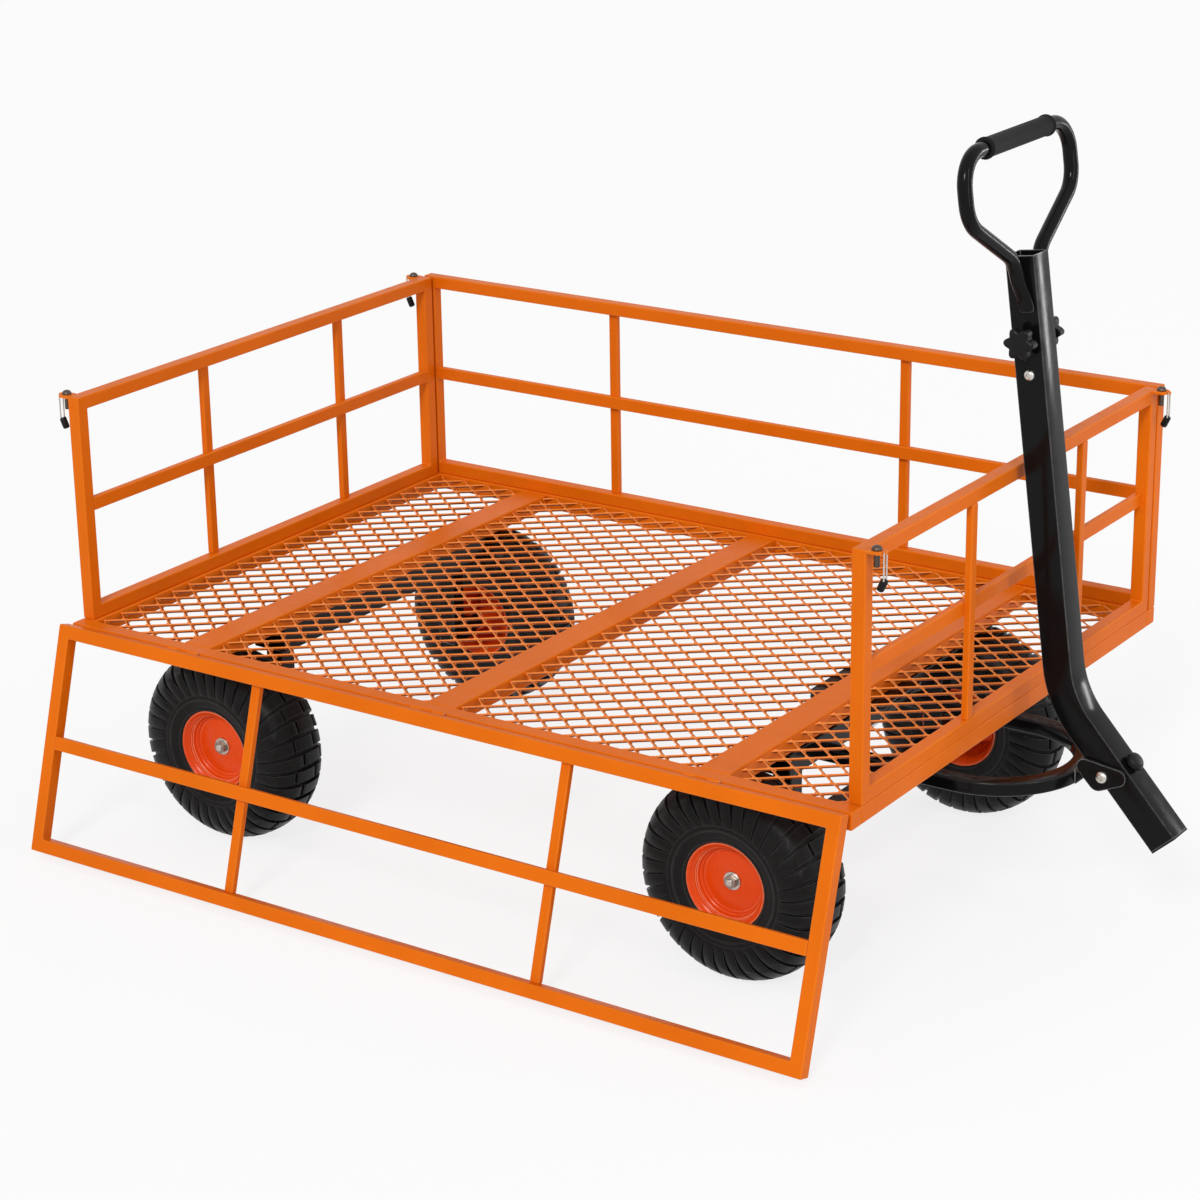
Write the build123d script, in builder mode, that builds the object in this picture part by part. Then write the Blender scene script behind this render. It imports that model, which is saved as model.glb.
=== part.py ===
import math
import os

from build123d import *

os.makedirs("parts", exist_ok=True)

# Garden wagon, millimetres. Origin at the middle of the deck's top face, +X to the handle end,
# -Y to the side with the dropped gate, +Z up.

# Bed
bed_length = 1320.0
bed_width = 900.0
half_length = bed_length / 2
half_width = bed_width / 2
deck_tube = 25.0
deck_wall = 2.0
weld = 0.05
cross_bar_width = 48.0
cross_bar_x = (-bed_length / 3, 0.0, bed_length / 3)
cap_thickness = 2.0

# Expanded metal sheets in the deck
mesh_thickness = 3.0
mesh_drop = 5.0
mesh_long = 56.0
mesh_short = 43.5
strand = 4.0
mesh_margin = 4.0

# Side panels
panel_height = 340.0
panel_tube = 20.0
panel_wall = 1.5
upright_width = 15.0
end_panel_inset = 25.0
middle_rail_height = 175.0
long_uprights = (-0.22 * bed_length, 0.182 * bed_length)
end_uprights = (-0.15 * bed_width, 0.212 * bed_width)

# Gate hinge: axis beside the deck's upper outer edge
gate_open_angle = 163.7
gate_gap = 1.0
hinge_offset = 3.5
knuckle_radius = 3.0
hinge_pin_radius = 1.6
running_fit = 0.05
knuckle_length = 18.0
knuckle_gap = 0.4
leaf_thickness = 2.0
leaf_height = 18.0
hinge_x = (-bed_length / 3, 0.0, bed_length / 3)

# Corner ears with their bolts and wire loops
ear_width = 20.0
ear_reach = 20.0
ear_thickness = 4.0
latch_radius = 4.0
latch_drop = 22.0
latch_head_radius = 7.0
latch_head_height = 6.0
bail_wire_radius = 1.1
bail_bar_radius = 1.0
bail_barrel_radius = 2.6
bail_barrel_length = 4.4
bail_side = 3.6
bail_length = 40.0
bail_tip_length = 17.0
bail_tip_radius = 5.0
bail_tip_lean = 25.0

# Wheels
tyre_radius = 147.0
tyre_half_width = 52.5
tyre_to_deck_top = 39.0
wheel_inset = 119.0
front_axle_inset = 233.0
rear_axle_inset = 198.0
wheel_z = -tyre_radius - tyre_to_deck_top
wheel_y = half_width - wheel_inset
front_axle_x = half_length - front_axle_inset
rear_axle_x = rear_axle_inset - half_length
rim_seat_radius = 52.0
rim_flange_radius = 60.0
rim_half_width = 45.0
rim_sheet = 2.5
hub_radius = 15.0
hub_inner_length = 48.0
hub_outer_length = 25.0
axle_radius = 8.0
thread_radius = axle_radius - 3
washer_thickness = 2.5
axle_nut_height = 6.5
end_play = 0.5

# Axle supports
beam_width = 40.0
beam_half_length = wheel_y - 81.0
leg_y = wheel_y - 116.0
leg_size = 30.0
axle_tube = 30.0
axle_tube_half = wheel_y - 69.0
rear_beam_width = 60.0
rear_beam_height = 40.0
rear_beam_x = rear_axle_x + rear_beam_width / 2 - leg_size / 2 - 5.0
stub_inner = leg_y - leg_size / 2
stub_head = 4.0
plate_size = 120.0
plate_thickness = 6.0
kingpin_radius = 10.0
turntable_gap = 0.5
front_beam_height = 34.0

# Steering yoke: half ring with two straight legs
yoke_outer_radius = 133.0
yoke_centre_inset = 29.0
yoke_centre_x = half_length - yoke_centre_inset
yoke_tube = 25.0
yoke_height = 20.0
neck_reach = 20.0

# Handle
handle_tube = 42.0
handle_wall = 2.0
plug_cap = 2.5
plug_length = 12.0
handle_top = (half_length - 6.0, 624.0)
handle_vertex = (half_length + 75.0, 24.0)
handle_end = (half_length + 233.0, -151.0)
handle_bend = 150.0
pivot_offset = handle_tube / 2 - 9.0
pivot_along = 116.0
pivot_radius = 5.0
ear_plate = 5.0
side_gap = 0.8
front_knob_along = 124.0
grip_radius = 10.0
grip_sleeve_radius = 13.2
grip_sleeve_half = 84.0
grip_collar = 1.4
knob_radius = 22.0
knob_height = 16.0
knob_boss_radius = 11.0
knob_boss_height = 11.0
stud_radius = 4.0
bolt_below = 158.0
stud_below = 112.0
leg_below = 74.0


def square_tube(start, end, across, width, height, wall):
    """Straight tube from start to end; width lies along the vector across."""
    start_point = Vector(*start)
    way = Vector(*end) - start_point
    with BuildSketch(Plane(start_point, x_dir=across, z_dir=way.normalized())) as profile:
        Rectangle(width, height)
        Rectangle(width - 2 * wall, height - 2 * wall, mode=Mode.SUBTRACT)
    extrude(profile.sketch, amount=way.length)


def rod(start, end, radius):
    """Solid round bar from start to end."""
    start_point = Vector(*start)
    way = Vector(*end) - start_point
    with BuildSketch(Plane(start_point, z_dir=way.normalized())) as profile:
        Circle(radius)
    extrude(profile.sketch, amount=way.length)


def ring(start, end, outer, inner):
    """Round tube from start to end."""
    start_point = Vector(*start)
    way = Vector(*end) - start_point
    with BuildSketch(Plane(start_point, z_dir=way.normalized())) as profile:
        Circle(outer)
        Circle(inner, mode=Mode.SUBTRACT)
    extrude(profile.sketch, amount=way.length)


def block(low, high):
    """Box between two corners."""
    size = [b - a for a, b in zip(low, high)]
    centre = [(a + b) / 2 for a, b in zip(low, high)]
    with BuildSketch(Plane((centre[0], centre[1], low[2]))) as profile:
        Rectangle(size[0], size[1])
    extrude(profile.sketch, amount=size[2])


def hex_nut(start, end, across_flats, bore):
    """Nut from start to end with a round bore."""
    start_point = Vector(*start)
    way = Vector(*end) - start_point
    with BuildSketch(Plane(start_point, z_dir=way.normalized())) as profile:
        RegularPolygon(across_flats / 2, 6, major_radius=False)
        Circle(bore, mode=Mode.SUBTRACT)
    extrude(profile.sketch, amount=way.length)


# Deck rails and cross bars
with BuildPart() as deck_side_rails:
    for side in (-1, 1):
        rail_y = side * (half_width - deck_tube / 2)
        reach = half_length - cap_thickness - weld
        square_tube((-reach, rail_y, -deck_tube / 2), (reach, rail_y, -deck_tube / 2), (0, 1, 0),
                    deck_tube, deck_tube, deck_wall)
deck_side_rails.part.label = "deck_side_rails"
export_step(deck_side_rails.part, "parts/deck_side_rails.step")

with BuildPart() as deck_rail_caps:
    for end in (-1, 1):
        for side in (-1, 1):
            cap_x = sorted((end * (half_length - cap_thickness), end * half_length))
            cap_y = sorted((side * (half_width - deck_tube), side * half_width))
            block((cap_x[0], cap_y[0], -deck_tube), (cap_x[1], cap_y[1], 0))
deck_rail_caps.part.label = "deck_rail_caps"
export_step(deck_rail_caps.part, "parts/deck_rail_caps.step")

with BuildPart() as deck_end_rails:
    for end in (-1, 1):
        rail_x = end * (half_length - deck_tube / 2)
        reach = half_width - deck_tube - weld
        square_tube((rail_x, -reach, -deck_tube / 2), (rail_x, reach, -deck_tube / 2), (1, 0, 0),
                    deck_tube, deck_tube, deck_wall)
deck_end_rails.part.label = "deck_end_rails"
export_step(deck_end_rails.part, "parts/deck_end_rails.step")

with BuildPart() as deck_cross_bars:
    for bar_x in cross_bar_x:
        reach = half_width - deck_tube - weld
        square_tube((bar_x, -reach, -deck_tube / 2), (bar_x, reach, -deck_tube / 2), (1, 0, 0),
                    cross_bar_width, deck_tube, deck_wall)
deck_cross_bars.part.label = "deck_cross_bars"
export_step(deck_cross_bars.part, "parts/deck_cross_bars.step")

# Expanded metal between the bars
bay_edges = [-half_length + deck_tube]
for bar_x in cross_bar_x:
    bay_edges += [bar_x - cross_bar_width / 2, bar_x + cross_bar_width / 2]
bay_edges.append(half_length - deck_tube)
edge_reach = mesh_long * mesh_short / 4 / math.hypot(mesh_long / 2, mesh_short / 2)
hole = 1 - strand / 2 / edge_reach


def mesh_sheet(left, right):
    """Sheet of staggered diamonds filling the bay between two X positions."""
    length = right - left - 2 * weld
    width = bed_width - 2 * deck_tube - 2 * weld
    top = Plane(((left + right) / 2, 0, -mesh_drop))
    columns = 2 * math.ceil(length / mesh_long / 2) + 1
    rows = 2 * math.ceil(width / mesh_short / 2) + 1
    with BuildSketch(top) as profile:
        Rectangle(length, width)
    extrude(profile.sketch, amount=-mesh_thickness)
    half_x = mesh_long / 2 * hole
    half_y = mesh_short / 2 * hole
    with BuildSketch(top) as profile:
        with GridLocations(mesh_long, mesh_short, columns, rows):
            Polygon((-half_x, 0), (0, -half_y), (half_x, 0), (0, half_y), align=None)
        with GridLocations(mesh_long, mesh_short, columns + 1, rows + 1):
            Polygon((-half_x, 0), (0, -half_y), (half_x, 0), (0, half_y), align=None)
        Rectangle(length - 2 * mesh_margin, width - 2 * mesh_margin, mode=Mode.INTERSECT)
    extrude(profile.sketch, amount=-mesh_thickness, mode=Mode.SUBTRACT)


with BuildPart() as deck_mesh_rear:
    mesh_sheet(bay_edges[0], bay_edges[1])
deck_mesh_rear.part.label = "deck_mesh_rear"
export_step(deck_mesh_rear.part, "parts/deck_mesh_rear.step")

with BuildPart() as deck_mesh_mid_rear:
    mesh_sheet(bay_edges[2], bay_edges[3])
deck_mesh_mid_rear.part.label = "deck_mesh_mid_rear"
export_step(deck_mesh_mid_rear.part, "parts/deck_mesh_mid_rear.step")

with BuildPart() as deck_mesh_mid_front:
    mesh_sheet(bay_edges[4], bay_edges[5])
deck_mesh_mid_front.part.label = "deck_mesh_mid_front"
export_step(deck_mesh_mid_front.part, "parts/deck_mesh_mid_front.step")

with BuildPart() as deck_mesh_front:
    mesh_sheet(bay_edges[6], bay_edges[7])
deck_mesh_front.part.label = "deck_mesh_front"
export_step(deck_mesh_front.part, "parts/deck_mesh_front.step")

# Side panels. Each panel plane has its origin at the middle of the panel's lower inner edge,
# x along the panel, y up it and z outward.
hinge_axis_y = -half_width - hinge_offset
hinge_axis_z = gate_gap / 2
swing = math.radians(gate_open_angle)


def swung(y, z):
    """Position, after the gate is let down, of a point given on the closed gate."""
    away_y = y - hinge_axis_y
    away_z = z - hinge_axis_z
    return (hinge_axis_y + away_y * math.cos(swing) - away_z * math.sin(swing),
            hinge_axis_z + away_y * math.sin(swing) + away_z * math.cos(swing))


gate_origin = swung(-half_width + panel_tube, gate_gap)
gate_outward = (0, -math.cos(swing), -math.sin(swing))
far_plane = Plane((0, half_width - panel_tube, weld), x_dir=(-1, 0, 0), z_dir=(0, 1, 0))
front_plane = Plane((half_length - panel_tube, 0, weld), x_dir=(0, 1, 0), z_dir=(1, 0, 0))
rear_plane = Plane((-half_length + panel_tube, 0, weld), x_dir=(0, -1, 0), z_dir=(-1, 0, 0))
gate_plane = Plane((0, *gate_origin), x_dir=(1, 0, 0), z_dir=gate_outward)
end_panel_length = bed_width - 2 * end_panel_inset


def panel_frame(plane, length):
    """Four mitred tubes around the panel."""
    corners = [(-length / 2, 0), (length / 2, 0), (length / 2, panel_height), (-length / 2, panel_height)]
    inward = [(1, 1), (-1, 1), (-1, -1), (1, -1)]

    def inset(corner, depth, shift):
        x, y = corners[corner]
        return (x + inward[corner][0] * depth + shift[0], y + inward[corner][1] * depth + shift[1])

    for first in range(4):
        last = (first + 1) % 4
        run = Vector(corners[last][0] - corners[first][0], corners[last][1] - corners[first][1])
        step = run.normalized() * weld
        ahead = (step.X, step.Y)
        back = (-step.X, -step.Y)
        with BuildSketch(plane) as profile:
            Polygon(inset(first, 0, ahead), inset(last, 0, back), inset(last, panel_tube, back),
                    inset(first, panel_tube, ahead), align=None)
        extrude(profile.sketch, amount=panel_tube)
        with BuildSketch(plane.offset(panel_wall)) as profile:
            Polygon(inset(first, panel_wall, ahead), inset(last, panel_wall, back),
                    inset(last, panel_tube - panel_wall, back),
                    inset(first, panel_tube - panel_wall, ahead), align=None)
        extrude(profile.sketch, amount=panel_tube - 2 * panel_wall, mode=Mode.SUBTRACT)


def panel_infill(plane, length, uprights):
    """Middle rail on the inner half of the panel, uprights on the outer half."""
    depth = panel_tube / 2 - weld
    reach = length / 2 - panel_tube - weld
    along = plane.x_dir
    low = panel_tube + weld
    high = panel_height - panel_tube - weld

    def spot(x, y, z):
        return tuple(plane.from_local_coords(Vector(x, y, z)))

    square_tube(spot(-reach, middle_rail_height, depth / 2), spot(reach, middle_rail_height, depth / 2),
                plane.z_dir, depth, panel_tube, panel_wall)
    for place in uprights:
        outer = panel_tube - depth / 2
        square_tube(spot(place, low, outer), spot(place, high, outer), along,
                    upright_width, depth, panel_wall)


with BuildPart() as far_panel_frame:
    panel_frame(far_plane, bed_length)
far_panel_frame.part.label = "far_panel_frame"
export_step(far_panel_frame.part, "parts/far_panel_frame.step")

with BuildPart() as far_panel_infill:
    panel_infill(far_plane, bed_length, [-x for x in long_uprights])
far_panel_infill.part.label = "far_panel_infill"
export_step(far_panel_infill.part, "parts/far_panel_infill.step")

with BuildPart() as front_panel_frame:
    panel_frame(front_plane, end_panel_length)
front_panel_frame.part.label = "front_panel_frame"
export_step(front_panel_frame.part, "parts/front_panel_frame.step")

with BuildPart() as front_panel_infill:
    panel_infill(front_plane, end_panel_length, end_uprights)
front_panel_infill.part.label = "front_panel_infill"
export_step(front_panel_infill.part, "parts/front_panel_infill.step")

with BuildPart() as rear_panel_frame:
    panel_frame(rear_plane, end_panel_length)
rear_panel_frame.part.label = "rear_panel_frame"
export_step(rear_panel_frame.part, "parts/rear_panel_frame.step")

with BuildPart() as rear_panel_infill:
    panel_infill(rear_plane, end_panel_length, [-y for y in end_uprights])
rear_panel_infill.part.label = "rear_panel_infill"
export_step(rear_panel_infill.part, "parts/rear_panel_infill.step")

with BuildPart() as gate_frame:
    panel_frame(gate_plane, bed_length)
gate_frame.part.label = "gate_frame"
export_step(gate_frame.part, "parts/gate_frame.step")

with BuildPart() as gate_infill:
    panel_infill(gate_plane, bed_length, long_uprights)
gate_infill.part.label = "gate_infill"
export_step(gate_infill.part, "parts/gate_infill.step")


# Gate hinges: a middle knuckle on the deck, one on either side of it on the gate
def hinge_leaf(face, tip, spans):
    """Leaf on a face plane (y up the leaf, z outward) with knuckles around the hinge axis."""
    for left, right in spans:
        rod((left, hinge_axis_y, hinge_axis_z), (right, hinge_axis_y, hinge_axis_z), knuckle_radius)
    with BuildSketch(face) as profile:
        for left, right in spans:
            with Locations(((left + right) / 2, tip / 2)):
                Rectangle(right - left, abs(tip))
    extrude(profile.sketch, amount=leaf_thickness)
    for left, right in spans:
        with BuildSketch(Plane((left, hinge_axis_y, hinge_axis_z), z_dir=(1, 0, 0))) as profile:
            Circle(hinge_pin_radius + running_fit)
        extrude(profile.sketch, amount=right - left, mode=Mode.SUBTRACT)


deck_face = Plane((0, -half_width - weld, hinge_axis_z), x_dir=(1, 0, 0), z_dir=(0, -1, 0))
leaf_foot = swung(-half_width - weld, hinge_axis_z)
gate_face = Plane((0, *leaf_foot), x_dir=(1, 0, 0), z_dir=gate_outward)

with BuildPart() as gate_hinge_deck_leaves:
    for x in hinge_x:
        hinge_leaf(deck_face, -leaf_height, [(x - knuckle_length / 2, x + knuckle_length / 2)])
gate_hinge_deck_leaves.part.label = "gate_hinge_deck_leaves"
export_step(gate_hinge_deck_leaves.part, "parts/gate_hinge_deck_leaves.step")

with BuildPart() as gate_hinge_leaves:
    for x in hinge_x:
        near_end = knuckle_length / 2 + knuckle_gap
        far_end = near_end + knuckle_length
        hinge_leaf(gate_face, leaf_height, [(x - far_end, x - near_end), (x + near_end, x + far_end)])
gate_hinge_leaves.part.label = "gate_hinge_leaves"
export_step(gate_hinge_leaves.part, "parts/gate_hinge_leaves.step")

with BuildPart() as gate_hinge_pins:
    for x in hinge_x:
        reach = 1.5 * knuckle_length + knuckle_gap + 1
        rod((x - reach, hinge_axis_y, hinge_axis_z), (x + reach, hinge_axis_y, hinge_axis_z),
            hinge_pin_radius)
gate_hinge_pins.part.label = "gate_hinge_pins"
export_step(gate_hinge_pins.part, "parts/gate_hinge_pins.step")

# Corner ears on the end panels, with lifting bolts and hanging wire loops
ear_top = weld + panel_height
ear_y = half_width - end_panel_inset - ear_width / 2
latch_x = half_length + ear_reach / 2
bail_x = half_length + ear_reach + bail_barrel_radius - 0.8
bail_z = ear_top - ear_thickness / 2
latch_hole = latch_radius + running_fit

with BuildPart() as latch_ears:
    for end in (-1, 1):
        for side in (-1, 1):
            span = sorted((end * (half_length + weld), end * (half_length + ear_reach)))
            centre_y = side * ear_y
            block((span[0], centre_y - ear_width / 2, ear_top - ear_thickness),
                  (span[1], centre_y + ear_width / 2, ear_top))
            with BuildSketch(Plane((end * latch_x, centre_y, ear_top))):
                Circle(latch_hole)
            extrude(amount=-ear_thickness, mode=Mode.SUBTRACT)
            rod((end * bail_x, centre_y - bail_barrel_length / 2, bail_z),
                (end * bail_x, centre_y + bail_barrel_length / 2, bail_z), bail_barrel_radius)
            with BuildSketch(Plane((end * bail_x, centre_y, bail_z), z_dir=(0, 1, 0))):
                Circle(bail_bar_radius + running_fit)
            extrude(amount=bail_barrel_length, both=True, mode=Mode.SUBTRACT)
latch_ears.part.label = "latch_ears"
export_step(latch_ears.part, "parts/latch_ears.step")


def latch_bolt(end, side):
    """Round bolt through an ear with a domed head resting on it."""
    foot = (end * latch_x, side * ear_y, ear_top)
    with BuildSketch(Plane(foot)) as profile:
        Circle(latch_radius)
    extrude(profile.sketch, amount=-latch_drop)
    dome = (latch_head_radius ** 2 + latch_head_height ** 2) / 2 / latch_head_height
    section = Plane((foot[0], foot[1], ear_top + 0.02), x_dir=(1, 0, 0), z_dir=(0, -1, 0))
    with BuildSketch(section) as profile:
        with BuildLine():
            Line((0, 0), (latch_head_radius, 0))
            RadiusArc((latch_head_radius, 0), (0, latch_head_height), -dome)
            Line((0, latch_head_height), (0, 0))
        make_face()
    revolve(profile.sketch, axis=Axis((foot[0], foot[1], 0), (0, 0, 1)))
    rod(foot, (foot[0], foot[1], ear_top + 1), latch_radius)


def latch_bail(end, side):
    """Closed wire loop hanging in an ear's barrel, its lower end in a leaning sleeve."""
    x = end * bail_x
    left = side * ear_y - bail_side
    right = side * ear_y + bail_side
    low_z = bail_z - bail_length
    top_z = bail_z + bail_wire_radius + 0.1
    with BuildLine() as bend:
        FilletPolyline((x, left, top_z), (x, left, low_z), (x, right, low_z), (x, right, top_z), radius=2.5)
    with BuildSketch(Plane((x, left, top_z), z_dir=(0, 0, -1))) as profile:
        Circle(bail_wire_radius)
    sweep(profile.sketch, path=bend.wires()[0])
    rod((x, left, bail_z), (x, right, bail_z), bail_bar_radius)
    lean = math.radians(bail_tip_lean)
    top = (x, side * ear_y, low_z + bail_tip_radius)
    low = (top[0] - end * bail_tip_length * math.sin(lean), top[1], top[2] - bail_tip_length * math.cos(lean))
    rod(top, low, bail_tip_radius)


with BuildPart() as latch_pin_front_near:
    latch_bolt(1, -1)
latch_pin_front_near.part.label = "latch_pin_front_near"
export_step(latch_pin_front_near.part, "parts/latch_pin_front_near.step")

with BuildPart() as latch_pin_front_far:
    latch_bolt(1, 1)
latch_pin_front_far.part.label = "latch_pin_front_far"
export_step(latch_pin_front_far.part, "parts/latch_pin_front_far.step")

with BuildPart() as latch_pin_rear_near:
    latch_bolt(-1, -1)
latch_pin_rear_near.part.label = "latch_pin_rear_near"
export_step(latch_pin_rear_near.part, "parts/latch_pin_rear_near.step")

with BuildPart() as latch_pin_rear_far:
    latch_bolt(-1, 1)
latch_pin_rear_far.part.label = "latch_pin_rear_far"
export_step(latch_pin_rear_far.part, "parts/latch_pin_rear_far.step")

with BuildPart() as latch_bail_front_near:
    latch_bail(1, -1)
latch_bail_front_near.part.label = "latch_bail_front_near"
export_step(latch_bail_front_near.part, "parts/latch_bail_front_near.step")

with BuildPart() as latch_bail_front_far:
    latch_bail(1, 1)
latch_bail_front_far.part.label = "latch_bail_front_far"
export_step(latch_bail_front_far.part, "parts/latch_bail_front_far.step")

with BuildPart() as latch_bail_rear_near:
    latch_bail(-1, -1)
latch_bail_rear_near.part.label = "latch_bail_rear_near"
export_step(latch_bail_rear_near.part, "parts/latch_bail_rear_near.step")

with BuildPart() as latch_bail_rear_far:
    latch_bail(-1, 1)
latch_bail_rear_far.part.label = "latch_bail_rear_far"
export_step(latch_bail_rear_far.part, "parts/latch_bail_rear_far.step")

# Rear axle support: beam under the deck and two legs, each with a short bushed tube for a stub axle
beam_wall = 2.5
axle_top = wheel_z + axle_tube / 2
bush_radius = axle_tube / 2 - beam_wall - weld
hub_inner = wheel_y - hub_inner_length
hub_outer = wheel_y + hub_outer_length


def axle_legs(x, top):
    """Two legs between the axle tube and a beam whose lower face is at top."""
    for side in (-1, 1):
        square_tube((x, side * leg_y, axle_top + weld), (x, side * leg_y, top - weld), (1, 0, 0),
                    leg_size, leg_size, beam_wall)


def axle_bushes(x, inner):
    """Bushes in the ends of the axle tube, from inner out to the hubs."""
    for side in (-1, 1):
        ring((x, side * inner, wheel_z), (x, side * (hub_inner - end_play), wheel_z),
             bush_radius, axle_radius + running_fit)


def axle_nuts(x):
    """Washer and nut outside each hub."""
    for side in (-1, 1):
        seat = side * (hub_outer + end_play)
        mid = seat + side * washer_thickness
        tip = mid + side * axle_nut_height
        ring((x, seat, wheel_z), (x, mid, wheel_z), axle_radius + 5, thread_radius + weld)
        hex_nut((x, mid, wheel_z), (x, tip, wheel_z), 2 * thread_radius + 7, thread_radius + weld)


def axle_shaft(x, side, inner):
    """Round axle from inner out through a hub, with a thinner threaded end for the nut."""
    shoulder = hub_outer + end_play - weld
    reach = shoulder + washer_thickness + axle_nut_height + 2
    rod((x, side * inner, wheel_z), (x, side * shoulder, wheel_z), axle_radius)
    rod((x, side * inner, wheel_z), (x, side * reach, wheel_z), thread_radius)


rear_beam_low = -deck_tube - weld - rear_beam_height
rear_beam_mid = rear_beam_low + rear_beam_height / 2

with BuildPart() as rear_axle_saddle:
    square_tube((rear_beam_x, -beam_half_length, rear_beam_mid), (rear_beam_x, beam_half_length, rear_beam_mid),
                (1, 0, 0), rear_beam_width, rear_beam_height, beam_wall)
    axle_legs(rear_axle_x, rear_beam_low)
    for side in (-1, 1):
        square_tube((rear_axle_x, side * stub_inner, wheel_z), (rear_axle_x, side * axle_tube_half, wheel_z),
                    (1, 0, 0), axle_tube, axle_tube, beam_wall)
    axle_bushes(rear_axle_x, stub_inner)
rear_axle_saddle.part.label = "rear_axle_saddle"
export_step(rear_axle_saddle.part, "parts/rear_axle_saddle.step")

with BuildPart() as rear_axle_shaft:
    for side in (-1, 1):
        head = side * (stub_inner - weld)
        axle_shaft(rear_axle_x, side, stub_inner - weld - stub_head)
        rod((rear_axle_x, head - side * stub_head, wheel_z), (rear_axle_x, head, wheel_z), axle_radius + 4)
rear_axle_shaft.part.label = "rear_axle_shaft"
export_step(rear_axle_shaft.part, "parts/rear_axle_shaft.step")

with BuildPart() as rear_axle_nuts:
    axle_nuts(rear_axle_x)
rear_axle_nuts.part.label = "rear_axle_nuts"
export_step(rear_axle_nuts.part, "parts/rear_axle_nuts.step")

# Front axle support, turning on a kingpin under the front cross bar
top_plate_low = -deck_tube - weld - plate_thickness
turn_top = top_plate_low - turntable_gap
turn_low = turn_top - plate_thickness
front_beam_top = turn_low - weld
front_beam_low = front_beam_top - front_beam_height
nut_top = front_beam_low - end_play
nut_low = nut_top - 10

with BuildPart() as turntable_top:
    with BuildSketch(Plane((front_axle_x, 0, top_plate_low))):
        Rectangle(plate_size, plate_size)
        Circle(kingpin_radius + weld, mode=Mode.SUBTRACT)
    extrude(amount=plate_thickness)
turntable_top.part.label = "turntable_top"
export_step(turntable_top.part, "parts/turntable_top.step")

with BuildPart() as kingpin:
    rod((front_axle_x, 0, nut_low - 3), (front_axle_x, 0, top_plate_low + plate_thickness), kingpin_radius)
    hex_nut((front_axle_x, 0, nut_low), (front_axle_x, 0, nut_top), 32.0, kingpin_radius - 1)
kingpin.part.label = "kingpin"
export_step(kingpin.part, "parts/kingpin.step")

with BuildPart() as front_axle_saddle:
    with BuildSketch(Plane((front_axle_x, 0, turn_low))):
        Rectangle(plate_size, plate_size)
    extrude(amount=plate_thickness)
    beam_mid = (front_beam_top + front_beam_low) / 2
    square_tube((front_axle_x, -beam_half_length, beam_mid), (front_axle_x, beam_half_length, beam_mid),
                (1, 0, 0), beam_width + 10, front_beam_height, beam_wall)
    axle_legs(front_axle_x, front_beam_low)
    square_tube((front_axle_x, -axle_tube_half, wheel_z), (front_axle_x, axle_tube_half, wheel_z), (1, 0, 0),
                axle_tube, axle_tube, beam_wall)
    axle_bushes(front_axle_x, axle_tube_half - 25)
    with BuildSketch(Plane((front_axle_x, 0, turn_top))):
        Circle(kingpin_radius + running_fit)
    extrude(amount=-(turn_top - front_beam_low), mode=Mode.SUBTRACT)
front_axle_saddle.part.label = "front_axle_saddle"
export_step(front_axle_saddle.part, "parts/front_axle_saddle.step")

with BuildPart() as front_axle_shaft:
    for side in (-1, 1):
        axle_shaft(front_axle_x, side, 0)
front_axle_shaft.part.label = "front_axle_shaft"
export_step(front_axle_shaft.part, "parts/front_axle_shaft.step")

with BuildPart() as front_axle_nuts:
    axle_nuts(front_axle_x)
front_axle_nuts.part.label = "front_axle_nuts"
export_step(front_axle_nuts.part, "parts/front_axle_nuts.step")

# Handle geometry in the plane Y = 0
end_way = Vector(handle_end[0] - handle_vertex[0], handle_end[1] - handle_vertex[1])
end_dir = end_way.normalized()
back_dir = Vector(end_dir.Y, -end_dir.X)
pivot = Vector(*handle_vertex) + end_dir * pivot_along + back_dir * pivot_offset
top_way = Vector(handle_top[0] - handle_vertex[0], handle_top[1] - handle_vertex[1])
top_dir = top_way.normalized()
pivot_x = pivot.X
pivot_z = pivot.Y
inner_half = handle_tube / 2 + side_gap

# Yoke: half ring under the front beam, with a wedge-shaped neck that carries the bracket's ear plates
yoke_top = front_beam_low - weld
yoke_mid = yoke_top - yoke_height / 2
yoke_leg_y = yoke_outer_radius - yoke_tube / 2
yoke_front = yoke_centre_x + yoke_outer_radius

with BuildPart() as steering_yoke:
    with BuildLine() as yoke_path:
        rear_end = front_axle_x - beam_width / 2
        Line((rear_end, -yoke_leg_y, yoke_mid), (yoke_centre_x, -yoke_leg_y, yoke_mid))
        ThreePointArc((yoke_centre_x, -yoke_leg_y, yoke_mid),
                      (yoke_centre_x + yoke_leg_y, 0, yoke_mid), (yoke_centre_x, yoke_leg_y, yoke_mid))
        Line((yoke_centre_x, yoke_leg_y, yoke_mid), (rear_end, yoke_leg_y, yoke_mid))
    with BuildSketch(Plane((rear_end, -yoke_leg_y, yoke_mid), x_dir=(0, 1, 0), z_dir=(1, 0, 0))):
        Rectangle(yoke_tube, yoke_height)
    sweep(path=yoke_path.wires()[0])
    with BuildSketch(Plane((rear_end, -yoke_leg_y, yoke_mid), x_dir=(0, 1, 0), z_dir=(1, 0, 0))):
        Rectangle(yoke_tube - 5, yoke_height - 5)
    sweep(path=yoke_path.wires()[0], mode=Mode.SUBTRACT)
    with BuildSketch(Plane((0, 0, 0), x_dir=(1, 0, 0), z_dir=(0, -1, 0))):
        with BuildLine():
            Polyline((yoke_front - 4.5, yoke_top), (yoke_front + neck_reach, yoke_top),
                     (yoke_front - 1, yoke_top - yoke_height), (yoke_front - 4.5, yoke_top - yoke_height),
                     close=True)
        make_face()
    extrude(amount=inner_half - weld, both=True)
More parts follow.
